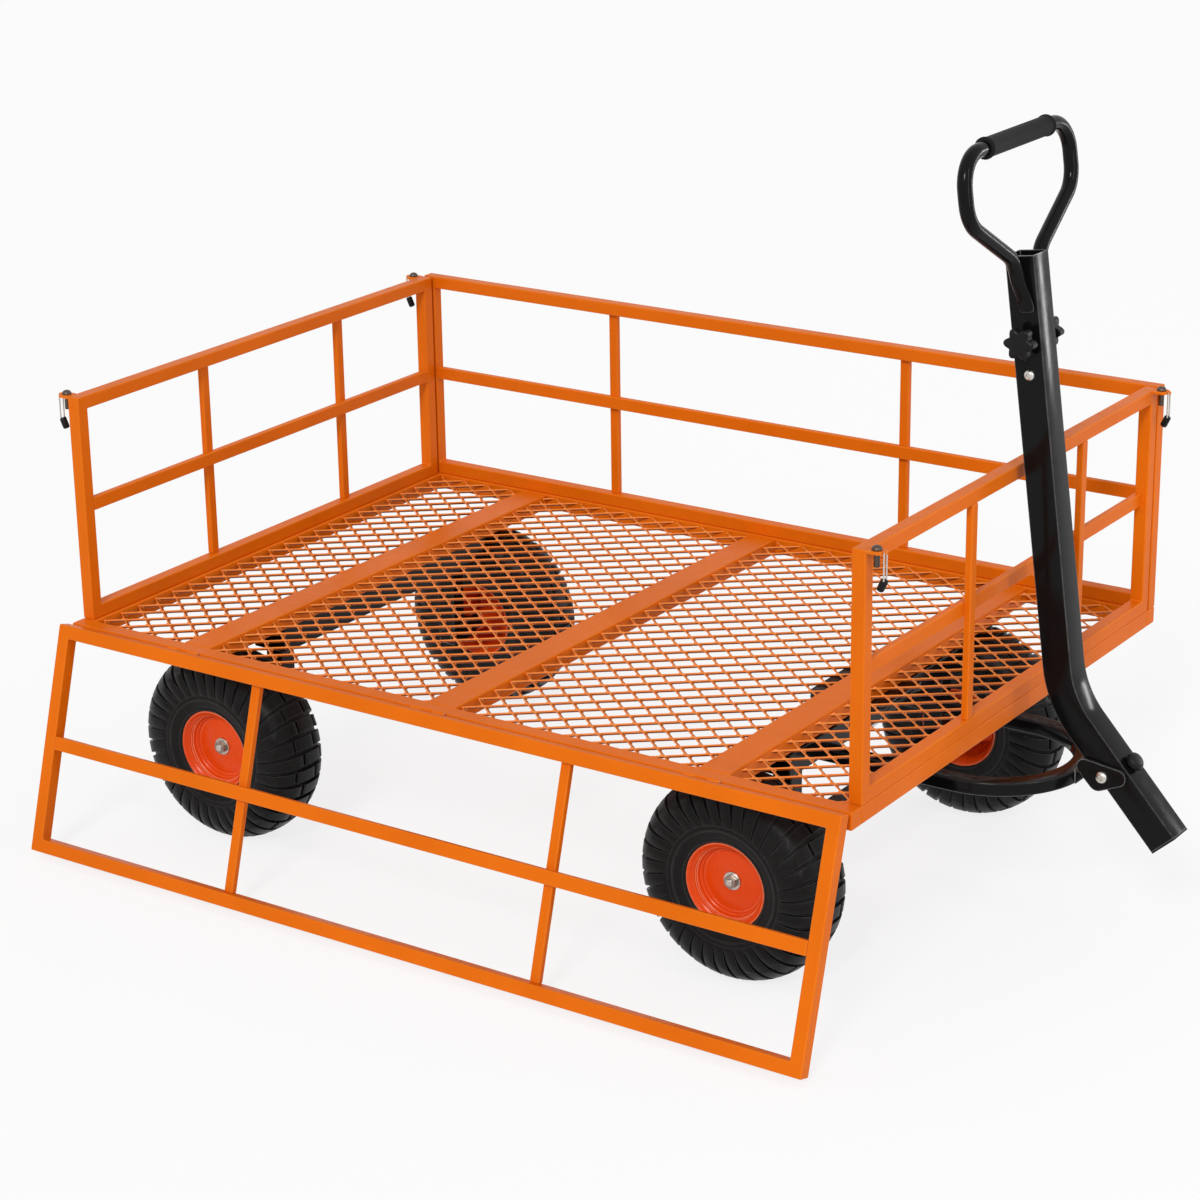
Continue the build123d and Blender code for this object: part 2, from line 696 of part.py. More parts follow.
steering_yoke.part.label = "steering_yoke"
export_step(steering_yoke.part, "parts/steering_yoke.step")


def on_handle(distance):
    """Point in the handle's plane, measured down the tube from its upper end."""
    spot = Vector(*handle_top) - top_dir * distance
    return (spot.X, spot.Y)


bolt_spot = on_handle(bolt_below)
stud_spot = on_handle(stud_below)

# Handle tube, open at the top, with cross holes for the bolt, the stud and the pivot
with BuildPart() as tongue_tube:
    with BuildLine(Plane.XZ) as tube_path:
        FilletPolyline(handle_end, handle_vertex, handle_top, radius=handle_bend)
    low_plane = Plane((handle_end[0], 0, handle_end[1]), x_dir=(0, 1, 0), z_dir=(-end_dir.X, 0, -end_dir.Y))
    with BuildSketch(low_plane):
        Rectangle(handle_tube, handle_tube)
    sweep(path=tube_path.wires()[0])
    with BuildSketch(low_plane):
        Rectangle(handle_tube - 2 * handle_wall, handle_tube - 2 * handle_wall)
    sweep(path=tube_path.wires()[0], mode=Mode.SUBTRACT)
    for spot in (bolt_spot, stud_spot):
        with BuildSketch(Plane((spot[0], 0, spot[1]), z_dir=(0, 1, 0))):
            Circle(stud_radius + weld)
        extrude(amount=handle_tube, both=True, mode=Mode.SUBTRACT)
    with BuildSketch(Plane((pivot_x, 0, pivot_z), z_dir=(0, 1, 0))):
        Circle(pivot_radius + running_fit)
    extrude(amount=handle_tube, both=True, mode=Mode.SUBTRACT)
tongue_tube.part.label = "tongue_tube"
export_step(tongue_tube.part, "parts/tongue_tube.step")

with BuildPart() as tongue_plug:
    plug = handle_tube - 2 * handle_wall - 2 * weld
    with BuildSketch(low_plane.offset(-plug_cap)):
        Rectangle(handle_tube, handle_tube)
    extrude(amount=plug_cap - weld)
    with BuildSketch(low_plane.offset(-weld)):
        Rectangle(plug, plug)
    extrude(amount=plug_length)
tongue_plug.part.label = "tongue_plug"
export_step(tongue_plug.part, "parts/tongue_plug.step")


# Pivot bracket: two ear plates on the sides of the yoke's neck, with the handle tube between them
def along_tube(distance, back=0.0):
    """Point in the handle's plane, measured from the bend along the lower tube."""
    spot = Vector(*handle_vertex) + end_dir * distance + back_dir * back
    return (spot.X, spot.Y)


with BuildPart() as tongue_bracket:
    for side in (-1, 1):
        face_y = inner_half if side > 0 else -inner_half - ear_plate
        with BuildSketch(Plane((0, face_y + ear_plate, 0), x_dir=(1, 0, 0), z_dir=(0, -1, 0))):
            with Locations((yoke_front + 14, yoke_top + 10)):
                Circle(12)
            with Locations((pivot_x - 7, pivot_z - 8)):
                Circle(14)
            with Locations(along_tube(pivot_along + 13, -6)):
                Circle(12)
            make_hull()
            with Locations((pivot_x, pivot_z)):
                Circle(pivot_radius + weld, mode=Mode.SUBTRACT)
        extrude(amount=ear_plate)
tongue_bracket.part.label = "tongue_bracket"
export_step(tongue_bracket.part, "parts/tongue_bracket.step")

with BuildPart() as tongue_pivot_bolt:
    outer_y = inner_half + ear_plate + weld
    rod((pivot_x, -outer_y - 6, pivot_z), (pivot_x, outer_y + 10, pivot_z), pivot_radius)
    hex_nut((pivot_x, -outer_y, pivot_z), (pivot_x, -outer_y - 6, pivot_z), 16.0, pivot_radius - 1)
    hex_nut((pivot_x, outer_y, pivot_z), (pivot_x, outer_y + 8, pivot_z), 16.0, pivot_radius - 1)
tongue_pivot_bolt.part.label = "tongue_pivot_bolt"
export_step(tongue_pivot_bolt.part, "parts/tongue_pivot_bolt.step")

# Round knob on the front of the lower tube
front_dir = Vector(-back_dir.X, -back_dir.Y)
knob_foot = along_tube(front_knob_along, -handle_tube / 2)
with BuildPart() as front_knob:
    knob_plane = Plane((knob_foot[0], 0, knob_foot[1]), x_dir=(0, 1, 0), z_dir=(front_dir.X, 0, front_dir.Y))
    with BuildSketch(knob_plane.offset(weld)):
        Circle(7)
    extrude(amount=4)
    with BuildSketch(knob_plane.offset(4)):
        Circle(13)
    extrude(amount=10)
    fillet(front_knob.faces().sort_by(Axis((0, 0, 0), (front_dir.X, 0, front_dir.Y)))[-1].edges(), 6)
front_knob.part.label = "front_knob"
export_step(front_knob.part, "parts/front_knob.step")

# Grip: bar bent into a loop, its legs on the sides of the tube's upper end
leg_side = handle_tube / 2 + weld + grip_radius
leg_foot = on_handle(leg_below)
loop_plane = Plane((leg_foot[0], 0, leg_foot[1]), x_dir=(0, 1, 0), z_dir=(top_dir.Y, 0, -top_dir.X))
loop_points = [(leg_side, 0), (leg_side, 68), (148.5, 140.0), (148.5, 225.0)]
loop_line = [(-y, z) for y, z in loop_points] + list(reversed(loop_points))
sleeve_height = loop_points[3][1]

with BuildPart() as grip_bar:
    with BuildLine(loop_plane) as grip_path:
        FilletPolyline(*loop_line, radius=44)
    start_spot = tuple(loop_plane.from_local_coords(Vector(-leg_side, 0, 0)))
    with BuildSketch(Plane(start_spot, x_dir=(0, 1, 0), z_dir=(top_dir.X, 0, top_dir.Y))):
        Circle(grip_radius)
    sweep(path=grip_path.wires()[0])
grip_bar.part.label = "grip_bar"
export_step(grip_bar.part, "parts/grip_bar.step")

with BuildPart() as grip_sleeve:
    sleeve_mid = loop_plane.from_local_coords(Vector(0, sleeve_height, 0))
    for y, length, radius in ((-grip_sleeve_half, 2 * grip_sleeve_half, grip_sleeve_radius),
                              (-grip_sleeve_half - 4, 4, grip_sleeve_radius + grip_collar),
                              (grip_sleeve_half, 4, grip_sleeve_radius + grip_collar)):
        ring((sleeve_mid.X, y, sleeve_mid.Z), (sleeve_mid.X, y + length, sleeve_mid.Z), radius,
             grip_radius + weld)
grip_sleeve.part.label = "grip_sleeve"
export_step(grip_sleeve.part, "parts/grip_sleeve.step")

# Through bolt and stud under the grip, with two star knobs on the stud
face_half = handle_tube / 2 + weld

with BuildPart() as tongue_bolts:
    for side in (-1, 1):
        hex_nut((bolt_spot[0], side * face_half, bolt_spot[1]),
                (bolt_spot[0], side * (face_half + 6), bolt_spot[1]), 14.0, stud_radius - 1)
    rod((bolt_spot[0], -face_half - 6, bolt_spot[1]), (bolt_spot[0], face_half + 6, bolt_spot[1]),
        stud_radius)
    stud_half = face_half + knob_boss_height + knob_height - 2
    rod((stud_spot[0], -stud_half, stud_spot[1]), (stud_spot[0], stud_half, stud_spot[1]), stud_radius)
tongue_bolts.part.label = "tongue_bolts"
export_step(tongue_bolts.part, "parts/tongue_bolts.step")


def star_knob(side):
    """Six-lobed knob on a round boss, turning on the stud."""
    seat = face_half + side_gap
    base = Plane((stud_spot[0], side * seat, stud_spot[1]), x_dir=(1, 0, 0), z_dir=(0, side, 0))
    with BuildSketch(base) as profile:
        Circle(knob_boss_radius)
    extrude(profile.sketch, amount=knob_boss_height)
    with BuildSketch(base.offset(knob_boss_height)) as profile:
        Circle(knob_radius - 5)
        with PolarLocations(knob_radius - 5, 6):
            Circle(5)
    extrude(profile.sketch, amount=knob_height)
    with BuildSketch(base) as profile:
        Circle(stud_radius + running_fit)
    extrude(profile.sketch, amount=knob_boss_height + knob_height - 1.5, mode=Mode.SUBTRACT)


with BuildPart() as star_knob_near:
    star_knob(-1)
star_knob_near.part.label = "star_knob_near"
export_step(star_knob_near.part, "parts/star_knob_near.step")

with BuildPart() as star_knob_far:
    star_knob(1)
star_knob_far.part.label = "star_knob_far"
export_step(star_knob_far.part, "parts/star_knob_far.step")

# Wheels: section drawn with x outward from the axle and y along it
tyre_bead = rim_half_width - rim_sheet - weld
tyre_outer = [(rim_seat_radius + weld, tyre_bead), (rim_flange_radius + 0.6, tyre_bead),
              (rim_flange_radius + 6, tyre_half_width - 6), (rim_flange_radius + 20, tyre_half_width - 1.5),
              (tyre_radius - 48, tyre_half_width), (tyre_radius - 31, tyre_half_width - 2.5),
              (tyre_radius - 18, tyre_half_width - 8.5), (tyre_radius - 8, tyre_half_width - 17),
              (tyre_radius - 2.5, tyre_half_width - 31), (tyre_radius, 0)]
tyre_wall = 8.0
tyre_inner = [(tyre_radius - tyre_wall - 3, 0), (tyre_radius - tyre_wall - 6, tyre_half_width - 32),
              (tyre_radius - 22, tyre_half_width - 22), (tyre_radius - 48, tyre_half_width - tyre_wall),
              (rim_flange_radius + 18, tyre_half_width - tyre_wall - 2),
              (rim_seat_radius + weld, tyre_bead - tyre_wall)]


def wheel_section(x, side):
    """Section plane of a wheel: x from the axle outward, y toward the wheel's outer face."""
    return Plane((x, side * wheel_y, wheel_z), x_dir=(0, 0, 1), z_dir=(-side, 0, 0))


def tyre(x, side):
    """Hollow tyre open at its beads."""
    outline = tyre_outer + [(r, -a) for r, a in reversed(tyre_outer[:-1])]
    outline += [(r, -a) for r, a in reversed(tyre_inner[1:])] + tyre_inner
    with BuildSketch(wheel_section(x, side)) as profile:
        with BuildLine():
            Polyline(*outline, close=True)
        make_face()
    revolve(profile.sketch, axis=Axis((x, side * wheel_y, wheel_z), (0, 1, 0)))


def rim(x, side):
    """Rolled rim barrel with two flanges, pressed disc welded into it, and hub tube."""
    hub_bore = axle_radius + running_fit
    barrel = rim_seat_radius - rim_sheet
    front = hub_outer_length
    back = front - rim_sheet
    eye = hub_radius + weld
    seat = barrel - weld
    disc = [(eye, front), (seat - 12, front), (seat - 7, front + 8), (seat, front + 8),
            (seat, back + 8), (seat - 5.5, back + 8), (seat - 10.5, back), (eye, back)]
    with BuildSketch(wheel_section(x, side)) as profile:
        with Locations((rim_seat_radius - rim_sheet / 2, 0)):
            Rectangle(rim_sheet, 2 * rim_half_width)
        for edge in (-1, 1):
            with Locations(((barrel + rim_flange_radius) / 2, edge * (rim_half_width - rim_sheet / 2))):
                Rectangle(rim_flange_radius - barrel, rim_sheet)
        with Locations(((hub_bore + hub_radius) / 2, (hub_outer_length - hub_inner_length) / 2)):
            Rectangle(hub_radius - hub_bore, hub_outer_length + hub_inner_length)
        Polygon(*disc, align=None)
    revolve(profile.sketch, axis=Axis((x, side * wheel_y, wheel_z), (0, 1, 0)))


with BuildPart() as tyre_front_near:
    tyre(front_axle_x, -1)
tyre_front_near.part.label = "tyre_front_near"
export_step(tyre_front_near.part, "parts/tyre_front_near.step")

with BuildPart() as tyre_front_far:
    tyre(front_axle_x, 1)
tyre_front_far.part.label = "tyre_front_far"
export_step(tyre_front_far.part, "parts/tyre_front_far.step")

with BuildPart() as tyre_rear_near:
    tyre(rear_axle_x, -1)
tyre_rear_near.part.label = "tyre_rear_near"
export_step(tyre_rear_near.part, "parts/tyre_rear_near.step")

with BuildPart() as tyre_rear_far:
    tyre(rear_axle_x, 1)
tyre_rear_far.part.label = "tyre_rear_far"
export_step(tyre_rear_far.part, "parts/tyre_rear_far.step")

with BuildPart() as rim_front_near:
    rim(front_axle_x, -1)
rim_front_near.part.label = "rim_front_near"
export_step(rim_front_near.part, "parts/rim_front_near.step")

with BuildPart() as rim_front_far:
    rim(front_axle_x, 1)
rim_front_far.part.label = "rim_front_far"
export_step(rim_front_far.part, "parts/rim_front_far.step")

with BuildPart() as rim_rear_near:
    rim(rear_axle_x, -1)
rim_rear_near.part.label = "rim_rear_near"
export_step(rim_rear_near.part, "parts/rim_rear_near.step")

with BuildPart() as rim_rear_far:
    rim(rear_axle_x, 1)
rim_rear_far.part.label = "rim_rear_far"
export_step(rim_rear_far.part, "parts/rim_rear_far.step")
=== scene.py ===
import math

import bmesh
import bpy
from mathutils import Matrix, Vector


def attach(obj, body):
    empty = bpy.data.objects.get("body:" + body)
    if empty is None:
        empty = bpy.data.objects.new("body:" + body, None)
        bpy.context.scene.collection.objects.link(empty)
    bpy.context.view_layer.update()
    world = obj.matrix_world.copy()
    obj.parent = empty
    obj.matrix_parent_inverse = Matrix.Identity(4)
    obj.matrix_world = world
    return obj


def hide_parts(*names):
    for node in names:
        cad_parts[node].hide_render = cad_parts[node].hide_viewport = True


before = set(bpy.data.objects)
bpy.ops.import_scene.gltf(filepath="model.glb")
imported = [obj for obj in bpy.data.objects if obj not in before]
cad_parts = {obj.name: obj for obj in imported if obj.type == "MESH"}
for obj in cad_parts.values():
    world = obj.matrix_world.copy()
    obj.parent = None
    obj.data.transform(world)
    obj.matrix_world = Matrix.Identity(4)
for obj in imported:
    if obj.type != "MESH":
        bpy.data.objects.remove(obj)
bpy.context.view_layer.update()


# Deck frame: two full-length side rails of 25 mm square steel tube with closed ends, two end rails and
# three wide cross bars welded between them, flush on top. The whole frame is powder coated orange.
half_length = 0.660
half_width = 0.450
deck_tube = 0.025
deck_corner = 0.0022
cross_bars = (-0.440, 0.0, 0.440)
cross_bar_width = 0.048
between_rails = half_width - deck_tube
rounded_past = math.radians(35)
creased_past = math.radians(38)


def added(tree, kind, inputs, **settings):
    """New node with its settings; each input takes a number, a colour or another node's output."""
    node = tree.nodes.new(kind)
    for name, value in settings.items():
        setattr(node, name, value)
    for key, value in inputs.items():
        if isinstance(value, bpy.types.NodeSocket):
            tree.links.new(value, node.inputs[key])
        else:
            node.inputs[key].default_value = value
    return node


def blank_finish(name, shine):
    """New material, with its node tree, its shader and the piece's own coordinates."""
    finish = bpy.data.materials.new(name)
    finish.use_nodes = True
    tree = finish.node_tree
    shader = tree.nodes["Principled BSDF"]
    shader.inputs["Specular IOR Level"].default_value = shine
    return finish, tree, shader, added(tree, "ShaderNodeTexCoord", {}).outputs["Object"]


def speckle(tree, place, scale, detail):
    """Cloudy share, from none to all, over the whole piece."""
    clouds = added(tree, "ShaderNodeTexNoise", {"Vector": place, "Scale": scale, "Detail": detail})
    return clouds.outputs["Fac"]


def shades(tree, share, first, last):
    """Colour that runs between two shades, each given as a share and the colour there."""
    ramp = added(tree, "ShaderNodeValToRGB", {"Fac": share})
    for stop, (position, colour) in zip(ramp.color_ramp.elements, (first, last)):
        stop.position = position
        stop.color = colour
    return ramp.outputs["Color"]


def spread(tree, share, low, high, start=0, end=1):
    """Number that runs from low to high while a share runs from start to end."""
    span = added(tree, "ShaderNodeMapRange", {"Value": share, "From Min": start, "From Max": end,
                                              "To Min": low, "To Max": high})
    return span.outputs["Result"]


def highlighted_edges(tree, colour, highlight, scuffs, radius):
    """Colour that gives way to a paler painted highlight where the surface turns sharply, broken up by
    scuffs.
    """
    corner = added(tree, "ShaderNodeBevel", {"Radius": radius}, samples=4).outputs["Normal"]
    surface = added(tree, "ShaderNodeNewGeometry", {}).outputs["Normal"]
    turned = added(tree, "ShaderNodeVectorMath", {0: corner, 1: surface}, operation="DOT_PRODUCT")
    near_edge = spread(tree, turned.outputs["Value"], 0, 1, 0.995, 0.92)
    share = added(tree, "ShaderNodeMath", {0: near_edge, 1: scuffs}, operation="MULTIPLY").outputs["Value"]
    mixed = added(tree, "ShaderNodeMix", {"Factor": share, "A": colour, "B": highlight}, data_type="RGBA")
    return mixed.outputs["Result"]


def grain(tree, shader, height, strength, depth):
    """Fine relief over the whole surface."""
    relief = added(tree, "ShaderNodeBump", {"Height": height, "Strength": strength, "Distance": depth})
    tree.links.new(relief.outputs["Normal"], shader.inputs["Normal"])


def powder_coat(name, shade, cloud, edge_highlight, roughness, shine, peel):
    """Sprayed and baked coat: faint clouds in the colour, orange-peel skin, a paler painted highlight along
    its edges.
    """
    finish, tree, shader, place = blank_finish(name, shine)
    clouds = speckle(tree, place, scale=6, detail=6)
    scuffs = speckle(tree, place, scale=60, detail=5)
    tint = shades(tree, clouds, (0.36, cloud), (0.62, shade))
    tree.links.new(highlighted_edges(tree, tint, edge_highlight, scuffs, radius=0.0020), shader.inputs["Base Color"])
    tree.links.new(spread(tree, scuffs, *roughness, start=0.3, end=0.7), shader.inputs["Roughness"])
    grain(tree, shader, speckle(tree, place, scale=620, detail=2), strength=peel, depth=0.0004)
    return finish


def block(bm, one, other, place=Matrix()):
    """Adds a straight closed bar between two opposite corners of its box."""
    one, other = Vector(one), Vector(other)
    size = Matrix.Diagonal((*(abs(side) for side in other - one), 1))
    bmesh.ops.create_cube(bm, size=1, matrix=place @ Matrix.Translation((one + other) / 2) @ size)


def piece(name, bm, finish, body, nodes, edge=0.0, steps=3):
    """Makes the finished piece, facing outward and with edges rounded where edge is given, for its nodes."""
    bmesh.ops.recalc_face_normals(bm, faces=bm.faces)
    mesh = bpy.data.meshes.new(name)
    bm.to_mesh(mesh)
    bm.free()
    mesh.materials.append(finish)
    mesh.shade_smooth()
    item = bpy.data.objects.new(name, mesh)
    bpy.context.scene.collection.objects.link(item)
    if edge:
        rounding = item.modifiers.new("rounded_edges", "BEVEL")
        rounding.width = edge
        rounding.segments = steps
        rounding.limit_method = "ANGLE"
        rounding.angle_limit = rounded_past
        rounding.harden_normals = True
    else:
        mesh.set_sharp_from_angle(angle=creased_past)
    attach(item, body)
    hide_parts(*nodes)
    return item


# Its paler edge colour is a painted highlight along the edges of the tubes.
orange_coat = powder_coat("orange_coat", shade=(0.76, 0.152, 0.004, 1), cloud=(0.70, 0.136, 0.003, 1),
                          edge_highlight=(0.94, 0.34, 0.06, 1), roughness=(0.28, 0.40), shine=0.06, peel=0.10)

bm = bmesh.new()
for side in (-1, 1):
    block(bm, (-half_length, side * half_width, -deck_tube), (half_length, side * between_rails, 0))
piece("side_rails", bm, orange_coat, "bed", ["deck_side_rails", "deck_rail_caps"], deck_corner)

bm = bmesh.new()
for end in (-1, 1):
    block(bm, (end * half_length, -between_rails, -deck_tube),
          (end * (half_length - deck_tube), between_rails, 0))
piece("end_rails", bm, orange_coat, "bed", ["deck_end_rails"], deck_corner)

bm = bmesh.new()
for bar in cross_bars:
    block(bm, (bar - cross_bar_width / 2, -between_rails, -deck_tube),
          (bar + cross_bar_width / 2, between_rails, 0))
piece("cross_bars", bm, orange_coat, "bed", ["deck_cross_bars"], deck_corner)


# Expanded metal: steel sheet slit and drawn out into diamonds of 47 by 38 mm, whose strands stand tilted
# with the edge nearer the gate up. A sheet is welded into each bay of the deck and coated with it; the
# strands' narrow edges carry a brighter painted light and their flats a darker painted shade.
diamond_long = 0.047
diamond_short = 0.038
strand_width = 0.0058
strand_thick = 0.0021
strand_lap = 0.0015
strand_lean = math.radians(-42)
bond_half = 0.0045
bond_width = 1.35 * strand_width
mesh_height = -0.0065
# Two coats of the frame's orange: a brighter one that is painted light on the strands' narrow edges, and a
# darker one that is painted shade on their flats.
lit_edge_coat = powder_coat("lit_edge_coat", shade=(0.84, 0.200, 0.016, 1), cloud=(0.78, 0.176, 0.012, 1),
                        edge_highlight=(0.96, 0.42, 0.16, 1), roughness=(0.28, 0.40), shine=0.12, peel=0.10)
shaded_flat_coat = powder_coat("shaded_flat_coat", shade=(0.40, 0.074, 0.002, 1), cloud=(0.34, 0.060, 0.002, 1),
                        edge_highlight=(0.60, 0.16, 0.02, 1), roughness=(0.34, 0.46), shine=0.05, peel=0.10)


def strand(bm, start, end, width):
    """One leaning flat strand between two points of the sheet, with its flats in the second coat."""
    start, end = Vector((*start, mesh_height)), Vector((*end, mesh_height))
    way = end - start
    turn = Matrix.Rotation(math.atan2(way.y, way.x), 4, "Z") @ Matrix.Rotation(strand_lean, 4, "X")
    size = Matrix.Diagonal((way.length + strand_lap, width, strand_thick, 1))
    made = bmesh.ops.create_cube(bm, size=1, matrix=Matrix.Translation((start + end) / 2) @ turn @ size)
    for face in {face for vert in made["verts"] for face in vert.link_faces}:
        face.normal_update()
        # Flats take the painted-shade coat and edges the painted-light one.
        face.material_index = int(abs(face.normal.dot(turn.col[2].xyz)) > 0.9)


def everything(bm):
    """All vertices, edges and faces so far."""
    return bm.verts[:] + bm.edges[:] + bm.faces[:]


def repeated(bm, step, count):
    """Copies everything count times, each a step further on."""
    bmesh.ops.spin(bm, geom=everything(bm), cent=(0, 0, 0), axis=(0, 0, 1), dvec=step, angle=0, steps=count,
                   use_duplicate=True)


def only(kind, geom):
    """The vertices, edges or faces among mixed geometry."""
    return [part for part in geom if isinstance(part, kind)]


def expanded_metal(bay, left, right):
    """Sheet of diamonds cut to the bay between two bars."""
    bm = bmesh.new()
    x0 = (math.floor(left / diamond_long) - 1) * diamond_long
    x1, x2 = x0 + diamond_long / 2, x0 + diamond_long
    y0 = -between_rails - diamond_short
    y1, y2 = y0 + diamond_short / 2, y0 + diamond_short
    for start, end in (((x0, y0), (x1, y1)), ((x1, y1), (x2, y2)),
                       ((x0, y2), (x1, y1)), ((x1, y1), (x2, y0))):
        strand(bm, start, end, strand_width)
    for x, y in ((x0, y0), (x1, y1)):
        strand(bm, (x - bond_half, y), (x + bond_half, y), bond_width)
    repeated(bm, (diamond_long, 0, 0), math.ceil((right - left) / diamond_long) + 2)
    repeated(bm, (0, diamond_short, 0), math.ceil(2 * between_rails / diamond_short) + 2)
    for spot, way in (((left, 0, 0), (-1, 0, 0)), ((right, 0, 0), (1, 0, 0)),
                      ((0, -between_rails, 0), (0, -1, 0)), ((0, between_rails, 0), (0, 1, 0))):
        cut = bmesh.ops.bisect_plane(bm, geom=everything(bm), plane_co=spot, plane_no=way, clear_outer=True)
        bmesh.ops.holes_fill(bm, edges=only(bmesh.types.BMEdge, cut["geom_cut"]))
    sheet = piece("expanded_metal_" + bay, bm, lit_edge_coat, "bed", ["deck_mesh_" + bay])
    sheet.data.materials.append(shaded_flat_coat)


bay_left = deck_tube - half_length
for bay, bar in zip(("rear", "mid_rear", "mid_front"), cross_bars):
    expanded_metal(bay, bay_left, bar - cross_bar_width / 2)
    bay_left = bar + cross_bar_width / 2
expanded_metal("front", bay_left, half_length - deck_tube)


# Standing panels on the far side and both ends: a ring of 20 mm square tube with a flat middle rail on
# its inner half and two flat uprights on its outer half, welded together and coated orange.
panel_tube = 0.020
panel_height = 0.340
panel_half = panel_tube / 2
panel_corner = 0.0019
infill_corner = 0.0016
infill_gap = 0.0001
rail_middle = 0.175
upright_width = 0.015
end_panel_length = 0.850
long_uprights = (-0.2904, 0.2402)
end_uprights = (-0.135, 0.1908)
weld_gap = 0.00005


def panel_place(middle, along, outward):
    """Axes of a panel: x along it, y up it, z outward, from the middle of its lower inner edge."""
    along, outward = Vector(along), Vector(outward)
    turn = Matrix((along, outward.cross(along), outward)).transposed().to_4x4()
    return Matrix.Translation(middle) @ turn


def pushed(bm, faces, way):
    """Extrudes end faces along a straight run and gives the new ends; a loose outline closes its start."""
    joined = any(g not in faces for f in faces for e in f.edges for g in e.link_faces)
    grown = bmesh.ops.extrude_face_region(bm, geom=faces)["geom"]
    bmesh.ops.translate(bm, verts=only(bmesh.types.BMVert, grown), vec=way)
    if joined:
        bmesh.ops.delete(bm, geom=faces, context="FACES")
    return only(bmesh.types.BMFace, grown)


def hollowed(bm, faces, wall):
    """Cuts the middle out of a flat outline and gives the frame that is left."""
    bmesh.ops.inset_region(bm, faces=faces, thickness=wall, use_boundary=True, use_even_offset=True)
    bmesh.ops.delete(bm, geom=faces, context="FACES")
    return bm.faces[:]


def panel(name, place, length, uprights, body):
    """The ring of tube and its infill, as two pieces."""
    bm = bmesh.new()
    size = Matrix.Diagonal((length, panel_height, 1, 1))
    bmesh.ops.create_grid(bm, x_segments=1, y_segments=1, size=0.5,
                          matrix=Matrix.Translation((0, panel_height / 2, 0)) @ size)
    pushed(bm, hollowed(bm, bm.faces[:], panel_tube), (0, 0, panel_tube))
    bmesh.ops.transform(bm, matrix=place, verts=bm.verts)
    piece(name + "_ring", bm, orange_coat, body, [name + "_frame"], panel_corner)

    bm = bmesh.new()
    reach = length / 2 - panel_tube
    block(bm, (-reach, rail_middle - panel_half, infill_gap),
          (reach, rail_middle + panel_half, panel_half - infill_gap), place)
    for spot in uprights:
        block(bm, (spot - upright_width / 2, panel_tube, panel_half),
              (spot + upright_width / 2, panel_height - panel_tube, panel_tube - infill_gap), place)
    piece(name + "_bars", bm, orange_coat, body, [name + "_infill"], infill_corner)


panel("far_panel", panel_place((0, half_width - panel_tube, weld_gap), (-1, 0, 0), (0, 1, 0)),
      2 * half_length, [-x for x in long_uprights], "bed")
panel("front_panel", panel_place((half_length - panel_tube, 0, weld_gap), (0, 1, 0), (1, 0, 0)),
      end_panel_length, end_uprights, "bed")
panel("rear_panel", panel_place((panel_tube - half_length, 0, weld_gap), (0, -1, 0), (-1, 0, 0)),
      end_panel_length, [-y for y in end_uprights], "bed")


# Gate: a panel of the same tube as the far one, let down on three hinges along the deck's near edge until
# its free edge is close to the ground. Its middle rail then faces outward.
gate_open = math.radians(163.7)
gate_hinge = Vector((0, -0.4535, 0.0005))
gate_foot = (0, panel_tube - half_width, 0.001)
gate_down = (Matrix.Translation(gate_hinge) @ Matrix.Rotation(gate_open, 4, "X")
             @ Matrix.Translation(-gate_hinge))
gate_place = gate_down @ panel_place(gate_foot, (1, 0, 0), (0, -1, 0))
panel("gate", gate_place, 2 * half_length, long_uprights, "gate")


# Gate hinges: small butt hinges of folded steel, one leaf welded to the deck rail and two on the gate,
# with rolled knuckles round a plain steel pin. They are coated with the frame.
hinge_spots = (-0.440, 0.0, 0.440)
knuckle_radius = 0.003
knuckle_length = 0.018
knuckle_gap = 0.0004
leaf_height = 0.018
leaf_thick = 0.002
leaf_edge = 0.0003
deck_end = knuckle_length / 2
gate_start = deck_end + knuckle_gap
gate_end = gate_start + knuckle_length
pin_radius = 0.0016
pin_overhang = 0.001
pin_half = gate_end + pin_overhang


def round_bar(bm, start, end, radius, segments=32):
    """Adds a round bar with closed ends."""
    start, end = Vector(start), Vector(end)
    way = end - start
    turn = way.to_track_quat("Z", "Y").to_matrix().to_4x4()
    bmesh.ops.create_cone(bm, cap_ends=True, segments=segments, radius1=radius, radius2=radius,
                          depth=way.length, matrix=Matrix.Translation((start + end) / 2) @ turn)


def hinge_leaves(name, swing, spans, height, body, node):
    """Leaves standing on the closed faces, with a knuckle on each, swung into place."""
    bm = bmesh.new()
    for spot in hinge_spots:
        for left, right in spans:
            block(bm, (spot + left, -half_width - leaf_thick, gate_hinge.z),
                  (spot + right, -half_width, gate_hinge.z + height))
            round_bar(bm, (spot + left, *gate_hinge.yz), (spot + right, *gate_hinge.yz), knuckle_radius, 24)
    bmesh.ops.transform(bm, matrix=swing, verts=bm.verts)
    piece(name, bm, orange_coat, body, [node], leaf_edge, 2)


hinge_leaves("deck_leaves", Matrix(), [(-deck_end, deck_end)], -leaf_height, "bed", "gate_hinge_deck_leaves")
hinge_leaves("gate_leaves", gate_down, [(-gate_end, -gate_start), (gate_start, gate_end)], leaf_height,
             "gate", "gate_hinge_leaves")


def zinc_plate(name, shade, roughness):
    """Bright plated steel with fine turning marks and duller patches."""
    finish, tree, shader, place = blank_finish(name, shine=0.5)
    shader.inputs["Metallic"].default_value = 1
    patches = speckle(tree, place, scale=90, detail=4)
    dull_shade = [0.72 * part for part in shade]
    tint = shades(tree, patches, (0, (*dull_shade, 1)), (1, (*shade, 1)))
    tree.links.new(tint, shader.inputs["Base Color"])
    tree.links.new(spread(tree, patches, *roughness), shader.inputs["Roughness"])
    grain(tree, shader, speckle(tree, place, scale=1500, detail=2), strength=0.08, depth=0.0002)
    return finish


